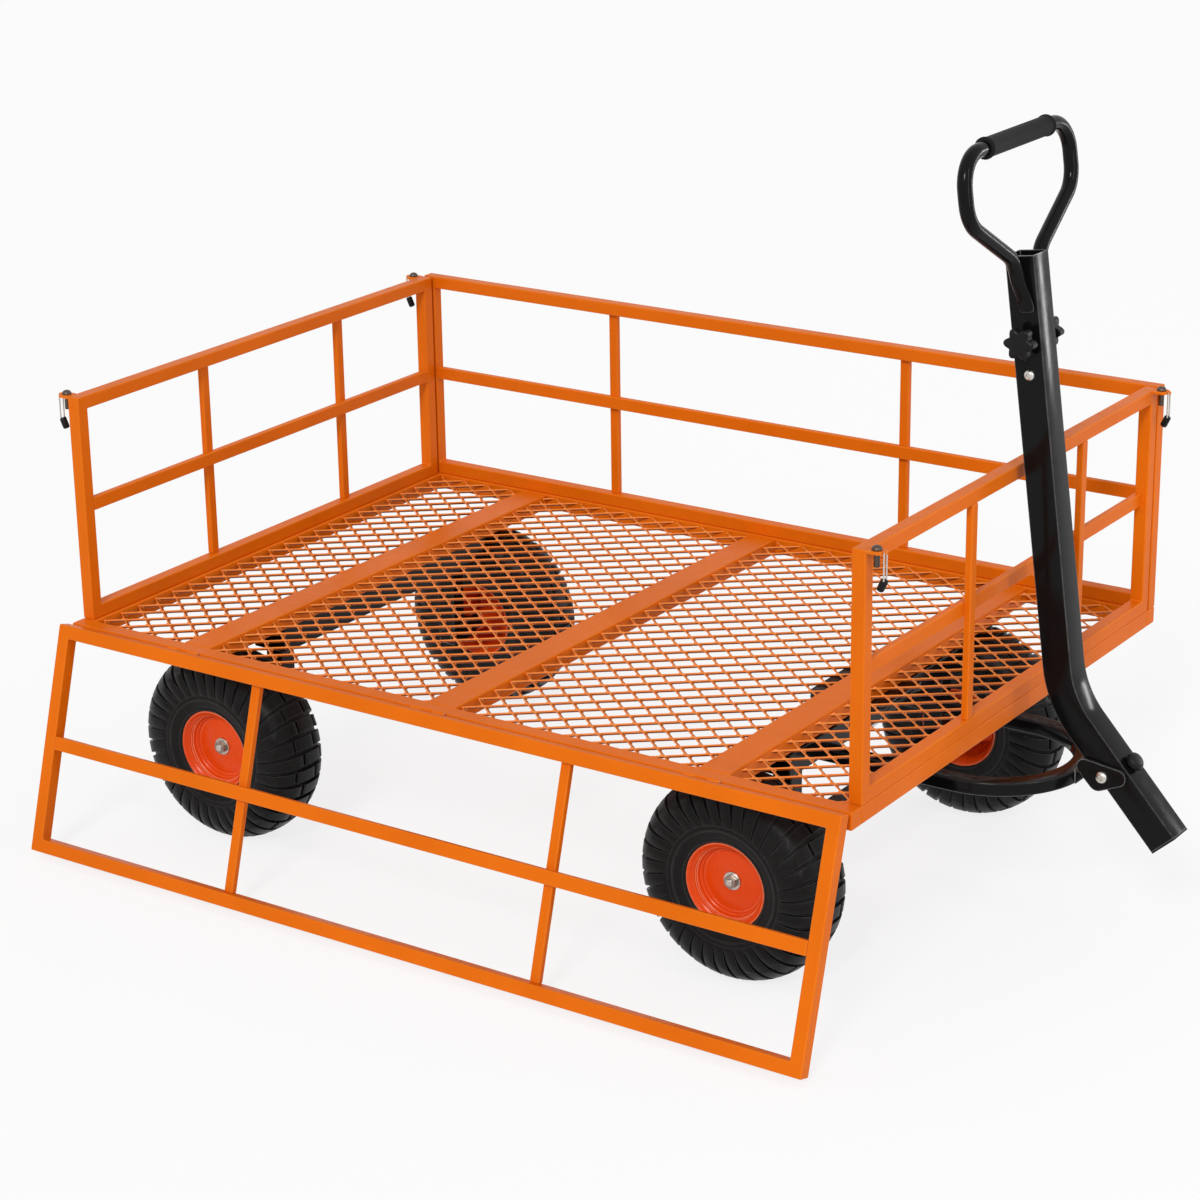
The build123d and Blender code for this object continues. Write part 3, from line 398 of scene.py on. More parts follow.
zinc_steel = zinc_plate("zinc_steel", shade=(0.70, 0.67, 0.62), roughness=(0.22, 0.38))
bm = bmesh.new()
for spot in hinge_spots:
    round_bar(bm, (spot - pin_half, *gate_hinge.yz), (spot + pin_half, *gate_hinge.yz), pin_radius, 16)
piece("hinge_pins", bm, zinc_steel, "bed", ["gate_hinge_pins"], leaf_edge, 2)


# Corner latches on the end panels' top corners: a welded ear with a domed bolt standing in it and a wire
# loop hanging from its barrel, the loop's lower end in a black plastic sleeve. Outlines are in mm.
corners = (("front_near", 1, -1), ("front_far", 1, 1), ("rear_near", -1, -1), ("rear_far", -1, 1))
ear_top = 0.34005
ear_y = 0.415
ear_half = 0.010
ear_thick = 0.004
ear_reach = 0.020
ear_corner = 0.006
ear_edge = 0.0005
barrel_half = 0.0022
barrel_radius = 0.0026
bolt_x = half_length + ear_reach / 2
bolt_radius = 0.004
bolt_depth = 0.022
bolt_lap = 0.001
bolt_dome = ((4.0, 0.1), (6.8, 0.1), (7.0, 1.0), (6.6, 2.5), (5.6, 4.1), (4.1, 5.3), (2.2, 6.0), (0, 6.2))
barrel_out = 0.0018
loop_x = half_length + ear_reach + barrel_out
loop_z = ear_top - ear_thick / 2
loop_rise = 0.0012
loop_drop = 0.040
loop_top = loop_z + loop_rise
loop_low = loop_z - loop_drop
loop_side = 0.0036
loop_bend = 0.0025
wire_radius = 0.0011
eye_radius = 0.0010
sleeve_lean = math.radians(25)
sleeve_rise = 0.005
sleeve_outline = ((0, 0), (3.0, 0), (4.6, 0.6), (5.0, 2.0), (5.0, 14.0), (4.5, 16.0), (3.0, 17.0), (0, 17.0))
in_mm = Matrix.Diagonal((0.001, 0.001, 0.001, 1))
same_point = 0.00001
straight_on = 0.001
dark_steel = zinc_plate("dark_steel", shade=(0.12, 0.09, 0.075), roughness=(0.30, 0.46))


def moulded_black(name, shade, roughness, shine, pitted, pores_per_metre):
    """Moulded black plastic with fine pores and slightly greyer scuffs."""
    finish, tree, shader, place = blank_finish(name, shine)
    patches = speckle(tree, place, scale=45, detail=5)
    scuffed = (1.6 * shade, 1.6 * shade, 1.65 * shade, 1)
    tint = shades(tree, patches, (0.3, (shade, shade, shade, 1)), (0.75, scuffed))
    tree.links.new(tint, shader.inputs["Base Color"])
    tree.links.new(spread(tree, patches, *roughness), shader.inputs["Roughness"])
    pores = added(tree, "ShaderNodeTexVoronoi", {"Vector": place, "Scale": pores_per_metre})
    grain(tree, shader, pores.outputs["Distance"], strength=pitted, depth=0.0005)
    return finish


black_plastic = moulded_black("black_plastic", shade=0.006, roughness=(0.28, 0.42), shine=0.14, pitted=0.15,
                              pores_per_metre=900)


def swung(bm, faces, centre, axis, turn, steps):
    """Sweeps end faces round a bend and gives the new end faces."""
    swept = bmesh.ops.spin(bm, geom=faces, cent=centre, axis=axis, dvec=(0, 0, 0), angle=turn, steps=steps,
                           use_merge=False, use_duplicate=False)
    bmesh.ops.delete(bm, geom=faces, context="FACES")
    return only(bmesh.types.BMFace, swept["geom_last"])


def run_along(bm, faces, points, bend, steps):
    """Pushes end faces along straight runs between points, with a bend of one radius at each turn."""
    points = [Vector(p) for p in points]
    here = points[0]
    for before, corner, after in zip(points, points[1:], points[2:]):
        into, out = (corner - before).normalized(), (after - corner).normalized()
        turn = into.angle(out)
        if turn < straight_on:
            faces = pushed(bm, faces, corner - here)
            here = corner
            continue
        axis = into.cross(out).normalized()
        set_back = bend * math.tan(turn / 2)
        start = corner - into * set_back
        faces = pushed(bm, faces, start - here)
        faces = swung(bm, faces, start + axis.cross(into) * bend, axis, turn, steps)
        here = corner + out * set_back
    return pushed(bm, faces, points[-1] - here)


def across(point, way, side):
    """Axes of a section: x along side, z along the run."""
    way, side = Vector(way).normalized(), Vector(side).normalized()
    return Matrix.Translation(point) @ Matrix((side, way.cross(side), way)).transposed().to_4x4()


def lathe(bm, outline, steps, place, closed=False):
    """Turns an outline of radius and height round its axis, and sets it in place and to scale."""
    known = set(bm.verts[:] + bm.faces[:])
    line = [bm.verts.new((radius, 0, height)) for radius, height in outline]
    ends = line[1:] + line[:1] if closed else line[1:]
    edges = [bm.edges.new(pair) for pair in zip(line, ends)]
    bmesh.ops.spin(bm, geom=line + edges, cent=(0, 0, 0), axis=(0, 0, 1), dvec=(0, 0, 0), angle=2 * math.pi,
                   steps=steps, use_merge=True, use_duplicate=False)
    turned = [v for v in bm.verts if v not in known]
    bmesh.ops.transform(bm, matrix=place, verts=turned)
    bmesh.ops.remove_doubles(bm, verts=turned, dist=same_point)
    bmesh.ops.recalc_face_normals(bm, faces=[f for f in bm.faces if f not in known])


def eased(bm, edges, radius, steps):
    """Rounds some of the edges."""
    bmesh.ops.bevel(bm, geom=edges, offset=radius, offset_type="OFFSET", segments=steps, profile=0.5,
                    affect="EDGES", material=-1)


def standing_edges(bm, known):
    """Upright edges other than the known ones."""
    return [e for e in bm.edges if e not in known and abs(e.verts[0].co.z - e.verts[1].co.z) > same_point]


bm = bmesh.new()
for corner, end, side in corners:
    x, y = end * loop_x, side * ear_y
    known = set(bm.edges)
    block(bm, (end * half_length, y - ear_half, ear_top - ear_thick),
          (end * (half_length + ear_reach), y + ear_half, ear_top))
    eased(bm, [e for e in standing_edges(bm, known) if abs(e.verts[0].co.x) > bolt_x], ear_corner, 5)
    round_bar(bm, (x, y - barrel_half, loop_z), (x, y + barrel_half, loop_z), barrel_radius, 20)
piece("corner_ears", bm, orange_coat, "bed", ["latch_ears"], ear_edge, 2)

for corner, end, side in corners:
    x, y = end * loop_x, side * ear_y
    foot = Vector((end * bolt_x, y, ear_top))
    bm = bmesh.new()
    round_bar(bm, foot - Vector((0, 0, bolt_depth)), foot + Vector((0, 0, bolt_lap)), bolt_radius, 24)
    lathe(bm, bolt_dome, 32, Matrix.Translation(foot) @ in_mm)
    piece("corner_bolt_" + corner, bm, dark_steel, "latch_" + corner, ["latch_pin_" + corner])

    bm = bmesh.new()
    left, right = y - loop_side, y + loop_side
    route = [(x, left, loop_top), (x, left, loop_low), (x, right, loop_low), (x, right, loop_top)]
    bmesh.ops.create_circle(bm, cap_ends=True, segments=12, radius=wire_radius,
                            matrix=across(route[0], (0, 0, -1), (1, 0, 0)))
    run_along(bm, bm.faces[:], route, loop_bend, 5)
    round_bar(bm, (x, left, loop_z), (x, right, loop_z), eye_radius, 12)
    piece("wire_loop_" + corner, bm, zinc_steel, "bail_" + corner, ["latch_bail_" + corner])

    bm = bmesh.new()
    lean = (-end * math.sin(sleeve_lean), 0, -math.cos(sleeve_lean))
    lathe(bm, sleeve_outline, 24, across((x, y, loop_low + sleeve_rise), lean, (0, 1, 0)) @ in_mm)
    piece("loop_sleeve_" + corner, bm, black_plastic, "bail_" + corner, [])


# Rear axle support: a broad beam welded under the deck with two legs, each down to a short square tube
# with a turned bush for a stub axle. It is made of steel tube and coated black.
rear_axle_x = -0.462
wheel_y = 0.331
wheel_z = -0.186
beam_half = 0.250
rear_beam_top = -0.02505
rear_beam_low = -0.06505
rear_beam_behind = 0.020
rear_beam_ahead = 0.040
leg_y = 0.215
leg_half = 0.015
axle_tube_half = 0.262
stub_tube_start = 0.200
bush_radius = 0.01245
bush_start = 0.240
bush_end = 0.2825
support_corner = 0.002
# Its grey edge colour is a painted highlight along the corners of the black tubes and bars.
black_coat = powder_coat("black_coat", shade=(0.0046, 0.0047, 0.0049, 1), cloud=(0.0036, 0.0037, 0.0039, 1),
                         edge_highlight=(0.44, 0.44, 0.45, 1), roughness=(0.10, 0.18), shine=0.11, peel=0.04)


def axle_support(bm, x, top, spans):
    """Legs and bushes under a beam whose lower face is at top, and axle tube over the given spans."""
    for side in (-1, 1):
        block(bm, (x - leg_half, side * leg_y - leg_half, wheel_z + leg_half),
              (x + leg_half, side * leg_y + leg_half, top))
        round_bar(bm, (x, side * bush_start, wheel_z), (x, side * bush_end, wheel_z), bush_radius)
    for left, right in spans:
        block(bm, (x - leg_half, left, wheel_z - leg_half), (x + leg_half, right, wheel_z + leg_half))


bm = bmesh.new()
block(bm, (rear_axle_x - rear_beam_behind, -beam_half, rear_beam_low),
      (rear_axle_x + rear_beam_ahead, beam_half, rear_beam_top))
axle_support(bm, rear_axle_x, rear_beam_low,
             [(-axle_tube_half, -stub_tube_start), (stub_tube_start, axle_tube_half)])
piece("rear_axle_stand", bm, black_coat, "bed", ["rear_axle_saddle"], support_corner)


# Axle shafts with their washers and nuts: bright round bar, in two stubs with black heads at the rear and
# in one piece at the front, turned down to a thread at each outer end for a plain washer and a duller nut.
shaft_radius = 0.008
shaft_half = 0.35645
stub_start = 0.1999
thread_radius = 0.005
thread_span = (0.3560, 0.3673)
washer_radius = 0.013
washer_span = (0.3565, 0.3590)
nut_radius = 0.0098
nut_span = (0.3590, 0.3655)
head_radius = 0.012
head_span = (0.19595, 0.19995)
shaft_edge = 0.0009
washer_edge = 0.0006
nut_edge = 0.0008
nut_steel = zinc_plate("nut_steel", shade=(0.36, 0.33, 0.29), roughness=(0.26, 0.42))


def both_sides(bm, x, span, radius, segments):
    """Round bar over a span of the axle's line, on both sides of the wagon."""
    for side in (-1, 1):
        round_bar(bm, (x, side * span[0], wheel_z), (x, side * span[1], wheel_z), radius, segments)


def axle_shaft(name, x, spans, body, node):
    """Round bar over the given spans, turned down to a thread at both outer ends."""
    bm = bmesh.new()
    for left, right in spans:
        round_bar(bm, (x, left, wheel_z), (x, right, wheel_z), shaft_radius, 40)
    both_sides(bm, x, thread_span, thread_radius, 28)
    piece(name, bm, zinc_steel, body, [node], shaft_edge, 2)


def axle_nuts(name, x, body, node):
    """Washer and nut at both ends of a shaft."""
    washers, nuts = bmesh.new(), bmesh.new()
    both_sides(washers, x, washer_span, washer_radius, 48)
    both_sides(nuts, x, nut_span, nut_radius, 6)
    piece(name + "_washers", washers, zinc_steel, body, [node], washer_edge, 2)
    piece(name + "_nuts", nuts, nut_steel, body, [], nut_edge, 2)


axle_shaft("rear_shafts", rear_axle_x, [(-shaft_half, -stub_start), (stub_start, shaft_half)], "bed",
           "rear_axle_shaft")
axle_nuts("rear_axle", rear_axle_x, "bed", "rear_axle_nuts")
bm = bmesh.new()
both_sides(bm, rear_axle_x, head_span, head_radius, 40)
piece("stub_heads", bm, black_coat, "bed", [], shaft_edge, 2)


# Turntable and kingpin: a square plate of 6 mm steel under the front cross bar on which the front axle
# turns, welded there and coated black, round a heavy plated bolt with a lock nut below.
front_axle_x = 0.427
plate_half = 0.060
plate_thick = 0.006
plate_corner = 0.010
plate_edge = 0.0008
top_plate_low = -0.03105
kingpin_radius = 0.0099
kingpin_span = (-0.0851, -0.0251)
lock_nut_radius = 0.0184
lock_nut_span = (-0.0821, -0.0721)
kingpin_edge = 0.001


def turn_plate(bm, low):
    """Square plate with rounded corners."""
    known = set(bm.edges)
    block(bm, (front_axle_x - plate_half, -plate_half, low),
          (front_axle_x + plate_half, plate_half, low + plate_thick))
    eased(bm, standing_edges(bm, known), plate_corner, 5)


bm = bmesh.new()
turn_plate(bm, top_plate_low)
piece("turntable_plate", bm, black_coat, "bed", ["turntable_top"], plate_edge, 2)

bm = bmesh.new()
for (low, high), radius, segments in ((kingpin_span, kingpin_radius, 40),
                                      (lock_nut_span, lock_nut_radius, 6)):
    round_bar(bm, (front_axle_x, 0, low), (front_axle_x, 0, high), radius, segments)
piece("kingpin_bolt", bm, zinc_steel, "bed", ["kingpin"], kingpin_edge, 2)


# Front axle stand: the turntable's lower plate on a deep beam, with legs down to one axle tube from side
# to side, welded from steel tube and coated black. It turns together with the yoke.
low_plate_low = -0.03755
front_beam_top = -0.0376
front_beam_low = -0.0716
front_beam_half = 0.025
bm = bmesh.new()
turn_plate(bm, low_plate_low)
block(bm, (front_axle_x - front_beam_half, -beam_half, front_beam_low),
      (front_axle_x + front_beam_half, beam_half, front_beam_top))
axle_support(bm, front_axle_x, front_beam_low, [(-axle_tube_half, axle_tube_half)])
piece("front_axle_stand", bm, black_coat, "front_axle", ["front_axle_saddle"], support_corner)
axle_shaft("front_shaft", front_axle_x, [(-shaft_half, shaft_half)], "front_axle", "front_axle_shaft")
axle_nuts("front_axle", front_axle_x, "front_axle", "front_axle_nuts")


# Tyres: pneumatic rubber with curved grooves that widen from half-way down the sidewall to the shoulder,
# a staggered row of blocks along the crown and a smooth band with two thin ridges round the rim. The
# tread is made as a flat strip and laid round the moulded carcass; angles across it are from the crown.
tyre_radius = 0.147
belly_radius = 0.0950
belly_half = 0.0489
crown_rise = 0.0464
crown_round = 0.8
bead_drop = 0.0345
bead_half = 0.0435
bead_round = 0.9
slope_step = 0.02
groove_count = 36
groove_pitch = 2 * math.pi * tyre_radius / groove_count
groove_width = 0.0034
groove_depth = 0.0036
groove_sweep = 0.12
block_root = 0.0015
block_edge = 0.0009
crown_splits = ((10, -26), (26, -10))
split_half = 2.2
tread_end = 101
tread_turn = 1.763
shoulder_turn = 1.2
crown_taller = 0.55
crown_narrower = 0.16
foot_wider = 0.12
strip_scale = 0.050
wheel_axis = across((0, 0, 0), (0, 1, 0), (1, 0, 0))


def rubber(name):
    """Satin black rubber with dusty patches, a fine moulded skin and a paler painted highlight on the edges
    of its blocks.
    """
    finish, tree, shader, place = blank_finish(name, shine=0.13)
    clouds = added(tree, "ShaderNodeTexNoise", {"Vector": place, "Scale": 28, "Detail": 7, "Roughness": 0.6})
    dust = clouds.outputs["Fac"]
    tint = shades(tree, dust, (0.32, (0.0048, 0.0047, 0.0046, 1)), (0.72, (0.0084, 0.0082, 0.0080, 1)))
    # The paler grey on the block edges is a painted highlight.
    colour = highlighted_edges(tree, tint, (0.080, 0.080, 0.082, 1), dust, radius=0.0016)
    tree.links.new(colour, shader.inputs["Base Color"])
    tree.links.new(spread(tree, dust, 0.30, 0.48), shader.inputs["Roughness"])
    grain(tree, shader, speckle(tree, place, scale=520, detail=3), strength=0.16, depth=0.0005)
    return finish


def carcass(turn):
    """Point of the tyre's section at an angle from the crown: distance from the axle, and to the side."""
    up, out = math.cos(turn), max(0.0, math.sin(abs(turn)))
    if up > 0:
        radius = belly_radius + crown_rise * up ** crown_round
        side = belly_half * out ** crown_round
    else:
        radius = belly_radius - bead_drop * (-up) ** bead_round
        side = bead_half + (belly_half - bead_half) * out ** bead_round
    return Vector((radius, math.copysign(side, turn)))


def tyre_skin(turn, lift):
    """Point of the section raised off the carcass."""
    slope = carcass(turn + slope_step) - carcass(turn - slope_step)
    outward = Vector((slope.y, -slope.x)).normalized()
    return carcass(turn) + outward * lift


strip = bmesh.new()
for row, (near_split, far_split) in enumerate(crown_splits):
    start, end = row * groove_pitch + groove_width / 2, (row + 1) * groove_pitch - groove_width / 2
    for low, high in ((near_split + split_half, tread_end), (far_split + split_half, near_split - split_half),
                      (-tread_end, far_split - split_half)):
        block(strip, (start, math.radians(low) * strip_scale, -block_root),
              (end, math.radians(high) * strip_scale, groove_depth))
eased(strip, [e for e in strip.edges if all(v.co.z > 0 for v in e.verts)], block_edge, 2)
lengths = [e for e in strip.edges if abs(e.verts[0].co.y - e.verts[1].co.y) > 2 * block_edge]
bmesh.ops.subdivide_edges(strip, edges=lengths, cuts=7, use_grid_fill=True)
repeated(strip, (2 * groove_pitch, 0, 0), groove_count // 2 - 1)
for v in strip.verts:
    turn = v.co.y / strip_scale
    crown = max(0.0, math.cos(0.9 * turn))
    foot = max(0.0, abs(turn) - shoulder_turn) / (tread_turn - shoulder_turn)
    spot = tyre_skin(turn, v.co.z * (1 + crown_taller * crown))
    middle = (math.floor(v.co.x / groove_pitch) + 0.5) * groove_pitch
    offset = (v.co.x - middle) * (1 - crown_narrower * crown + foot_wider * foot)
    angle = (middle + offset) / tyre_radius + groove_sweep * ((turn / tread_turn) ** 2 - 1)
    v.co = Vector((spot.x * math.cos(angle), spot.y, spot.x * math.sin(angle)))

section = [(angle, 0) for angle in range(0, 96, 6)]
section += [(98.5, 0), (101, 3.3), (108, 3.5), (111.5, 3.5), (112.5, 4.4), (115, 4.3), (116, 3.3), (118, 3.2),
            (130, 2.6), (141, 1.9), (146, 1.4), (147.5, 3.0), (151.5, 3.0), (153, 1.1), (168, 0.5), (180, 0)]
outline = [tyre_skin(math.radians(angle), lift / 1000) for angle, lift in section]
outline += [Vector(p) for p in ((0.0575, 0.0402), (0.0542, 0.0365), (0.0535, 0.0300), (0.0535, 0))]
outline += [Vector((p.x, -p.y)) for p in reversed(outline[1:-1])]
lathe(strip, outline, 120, wheel_axis, closed=True)
tyre_form = bpy.data.meshes.new("tyre_form")
strip.to_mesh(tyre_form)
strip.free()
tyre_rubber = rubber("tyre_rubber")


# Rims: two pressed steel halves with a rolled lip, a stepped barrel and a flat disc, welded to a hub tube
# and painted a redder orange than the frame. The outlines give radius and distance outward in mm.
rim_sheet = 0.0020
dish = ((60.4, 43.6), (61.2, 44.8), (61.0, 46.0), (60.0, 46.5), (58.6, 46.2), (57.4, 44.8), (55.6, 42.0),
        (54.2, 40.6), (53.0, 40.0), (52.3, 39.0), (51.8, 35.6), (51.2, 34.6), (50.0, 34.1), (49.4, 33.2),
        (48.9, 30.2), (48.2, 29.2), (47.0, 28.7), (46.3, 27.9), (45.8, 25.6), (45.0, 24.6), (43.8, 24.2),
        (42.8, 24.4), (42.2, 25.0), (41.4, 25.3), (15.0, 25.3))
barrel = ((51.2, 37.0), (50.6, 32.0), (50.6, -31.0), (51.6, -36.5), (55.2, -41.0), (57.4, -44.8),
          (58.6, -46.2), (60.0, -46.5), (61.0, -46.0), (61.2, -44.8), (60.4, -43.6))
hub = ((8.1, -48.0), (14.2, -48.0), (15.0, -47.2), (15.0, 25.4), (8.1, 25.4))
# Its pale edge colour is a painted highlight on the rim's lip and steps.
rim_coat = powder_coat("rim_coat", shade=(0.78, 0.074, 0.004, 1), cloud=(0.71, 0.062, 0.003, 1),
                       edge_highlight=(0.98, 0.40, 0.22, 1), roughness=(0.20, 0.32), shine=0.20, peel=0.06)

form = bmesh.new()
lathe(form, dish, 96, wheel_axis @ in_mm)
lathe(form, barrel, 96, wheel_axis @ in_mm)
bmesh.ops.solidify(form, geom=form.faces[:], thickness=rim_sheet)
lathe(form, hub, 48, wheel_axis @ in_mm, closed=True)
rim_form = bpy.data.meshes.new("rim_form")
form.to_mesh(rim_form)
form.free()

for corner, end, side in corners:
    place = Matrix.Translation((front_axle_x if end > 0 else rear_axle_x, side * wheel_y, wheel_z))
    if side < 0:
        place = place @ Matrix.Rotation(math.pi, 4, "Z")
    for name, form, finish, slot in (("tyre", tyre_form, tyre_rubber, "tyre_rubber"),
                                     ("rim", rim_form, rim_coat, "rim_coat")):
        bm = bmesh.new()
        bm.from_mesh(form)
        bmesh.ops.transform(bm, matrix=place, verts=bm.verts)
        piece("wheel_" + name + "_" + corner, bm, finish, "wheel_" + corner, [name + "_" + corner])


# Steering yoke: flat rectangular tube bent to a half ring, its legs welded under the front beam and a
# wedge at its front to which the handle's ear plates are welded. Glossy black coat.
yoke_z = -0.08165
yoke_start = 0.407
yoke_centre = 0.631
yoke_leg = 0.1205
yoke_width = 0.025
yoke_height = 0.020
yoke_corner = 0.003
wedge_back = (0.7585, -0.0217, -0.0916)
wedge_front = (0.7838, 0.0217, -0.0717)
wedge_foot = 0.763
wedge_corner = 0.0018


def rounded_section(bm, place, width, height, radius):
    """Rounded rectangle on a section plane, as a face to push along."""
    known = set(bm.faces)
    made = bmesh.ops.create_grid(bm, x_segments=1, y_segments=1, size=0.5,
                                 matrix=place @ Matrix.Diagonal((width, height, 1, 1)))
    bmesh.ops.bevel(bm, geom=made["verts"], offset=radius, offset_type="OFFSET", segments=5, profile=0.5,
                    affect="VERTICES", material=-1)
    return [f for f in bm.faces if f not in known]


bm = bmesh.new()
block(bm, wedge_back, wedge_front)
for v in bm.verts:
    if v.co.x > wedge_foot and v.co.z < yoke_z:
        v.co.x = wedge_foot
eased(bm, bm.edges[:], wedge_corner, 3)
faces = rounded_section(bm, across((yoke_start, -yoke_leg, yoke_z), (1, 0, 0), (0, 1, 0)),
                        yoke_width, yoke_height, yoke_corner)
faces = pushed(bm, faces, (yoke_centre - yoke_start, 0, 0))
faces = swung(bm, faces, (yoke_centre, 0, yoke_z), (0, 0, 1), math.pi, 48)
pushed(bm, faces, (yoke_start - yoke_centre, 0, 0))
piece("yoke", bm, black_coat, "front_axle", ["steering_yoke"])


# Handle tube: 42 mm square steel tube with rounded corners, bent once above the pivot, left open at the
# top and coated glossy black.
tube_size = 0.042
tube_wall = 0.002
tube_corner = 0.0011
tube_bend = 0.150
tube_top = Vector((0.654, 0, 0.624))
tube_vertex = Vector((0.735, 0, 0.024))
tube_end = Vector((0.893, 0, -0.151))
low_way = (tube_vertex - tube_end).normalized()
top_way = (tube_top - tube_vertex).normalized()


def tube_section(bm, point):
    """The tube's outline across its lower run."""
    return rounded_section(bm, across(point, low_way, (0, 1, 0)), tube_size, tube_size, tube_corner)


bm = bmesh.new()
wall = hollowed(bm, tube_section(bm, tube_end), tube_wall)
run_along(bm, wall, [tube_end, tube_vertex, tube_top], tube_bend, 16)
piece("handle_tube", bm, black_coat, "handle", ["tongue_tube"])


# End plug: a moulded black plastic cap with a thin flange as wide as the tube, and a shank that is pressed
# into the tube's open lower end.
flange_drop = 0.0025
flange_thick = 0.0024
shank_inset = 0.0022
shank_length = 0.012
plug_edge = 0.0007
bm = bmesh.new()
faces = pushed(bm, tube_section(bm, tube_end - low_way * flange_drop), low_way * flange_thick)
bmesh.ops.inset_region(bm, faces=faces, thickness=shank_inset)
pushed(bm, faces, low_way * shank_length)
piece("end_plug", bm, black_plastic, "handle", ["tongue_plug"], plug_edge, 2)


# Pivot bracket: two 5 mm steel ear plates welded to the sides of the yoke's wedge, coated black, between
# which the lower tube swings. Each plate is the hull of three discs.
back_way = Vector((-low_way.z, 0, low_way.x))


def along_low(distance, back=0.0):
    """Point measured from the bend along the lower tube, and backward from its middle line."""
    return tube_vertex - low_way * distance + back_way * back


pivot_down = 0.116
pivot_back = 0.012
pivot = along_low(pivot_down, pivot_back)
ear_discs = ((Vector((0.778, 0, -0.06165)), 0.012), (Vector((0.79683, 0, -0.07814)), 0.014),
             (along_low(0.129, -0.006), 0.012))
ear_inside = 0.0218
ear_outside = 0.0268
bracket_edge = 0.0009
flat_within = 0.01

bm = bmesh.new()
for side in (-1, 1):
    known = set(bm.verts)
    for spot, radius in ear_discs:
        round_bar(bm, spot + Vector((0, side * ear_inside, 0)), spot + Vector((0, side * ear_outside, 0)),
                  radius, 48)
    fresh = [v for v in bm.verts if v not in known]
    bmesh.ops.delete(bm, geom=list({f for v in fresh for f in v.link_faces}), context="FACES_ONLY")
    bmesh.ops.delete(bm, geom=list({e for v in fresh for e in v.link_edges}), context="EDGES_FACES")
    hull = bmesh.ops.convex_hull(bm, input=fresh)
    bmesh.ops.delete(bm, geom=only(bmesh.types.BMVert, hull["geom_interior"]), context="VERTS")
bmesh.ops.dissolve_limit(bm, angle_limit=flat_within, verts=bm.verts, edges=bm.edges)
piece("pivot_bracket", bm, black_coat, "front_axle", ["tongue_bracket"], bracket_edge)


# Bolts in the handle: zinc plated screws with round heads on the near side and hexagon nuts on the far
# side, one at the pivot and one through the upper tube, and the stud that carries the star knobs.
head_height = 0.0058
pivot_grip = 0.02685
pivot_head = 0.0085
pivot_shank = 0.005
pivot_nut = 0.0092
pivot_nut_end = 0.0348
pivot_end = 0.0368
bolt_down = 0.158
bolt = tube_top - top_way * bolt_down
bolt_grip = 0.02105
bolt_head = 0.0075
bolt_shank = 0.004
bolt_nut = 0.0081
bolt_nut_end = 0.0270
stud_down = 0.112
stud = tube_top - top_way * stud_down
stud_half = 0.0455
head_outline = ((1, 0), (1, 0.25), (0.93, 0.62), (0.72, 0.90), (0.50, 1), (0.46, 1), (0.40, 0.55), (0, 0.50))
near = Vector((0, -1, 0))


def pan_head(bm, spot, radius):
    """Round screw head with a hollow in the middle, standing on spot and looking to the near side."""
    size = Matrix.Diagonal((radius, radius, head_height, 1))
    lathe(bm, head_outline, 36, across(spot, near, (1, 0, 0)) @ size)


bm = bmesh.new()
pan_head(bm, pivot + near * pivot_grip, pivot_head)
round_bar(bm, pivot - near * pivot_grip, pivot + near * pivot_grip, pivot_shank, 24)
round_bar(bm, pivot - near * pivot_end, pivot - near * pivot_nut_end, pivot_shank, 24)
round_bar(bm, pivot - near * pivot_nut_end, pivot - near * pivot_grip, pivot_nut, 6)
piece("pivot_screw", bm, zinc_steel, "front_axle", ["tongue_pivot_bolt"])

bm = bmesh.new()
pan_head(bm, bolt + near * bolt_grip, bolt_head)
round_bar(bm, bolt - near * bolt_grip, bolt + near * bolt_grip, bolt_shank, 24)
round_bar(bm, bolt - near * bolt_nut_end, bolt - near * bolt_grip, bolt_nut, 6)
round_bar(bm, stud - near * stud_half, stud + near * stud_half, bolt_shank, 24)
piece("handle_screws", bm, zinc_steel, "handle", ["tongue_bolts"])


# Round knob: a domed button of moulded black plastic that stands on a narrow neck on the front face of
# the lower tube, just below the pivot. The outline gives radius and height in mm.
knob_down = 0.124
knob_foot = along_low(knob_down, -tube_size / 2)
knob_outline = ((0, 0), (7.0, 0), (7.0, 3.6), (12.0, 3.8), (12.9, 4.6), (13.0, 8.0), (12.3, 10.6),
                (10.4, 12.8), (7.4, 13.8), (0, 14.0))
bm = bmesh.new()
lathe(bm, knob_outline, 48, across(knob_foot, -back_way, (0, 1, 0)) @ in_mm)
piece("round_knob", bm, black_plastic, "handle", ["front_knob"])


# Grip bar: 20 mm round steel bar bent into a loop, its two feet pressed flat against the sides of the
# tube and welded there. Glossy black coat.
bar_radius = 0.010
bar_bend = 0.044
bar_end_edge = 0.0035
feet_down = 0.074
foot = tube_top - top_way * feet_down
leg_side = 0.03105
shoulder_up = 0.140
grip_up = 0.225
grip_side = 0.1485
half_loop = [(leg_side, up) for up in (0.0, 0.008, 0.018, 0.030, 0.042, 0.068)]
half_loop += [(grip_side, shoulder_up), (grip_side, grip_up)]
flat_up = 0.050
flat_run = 0.044
flat_thinner = 0.66
flat_wider = 0.12
flat_forward = 0.005
face_side = tube_size / 2
weld_line = 0.0001
thick_way = Vector((top_way.z, 0, -top_way.x))


def on_loop(y, up):
    """Point of the loop's plane: sideways from the tube, and up from the feet."""
    return foot + top_way * up + Vector((0, y, 0))


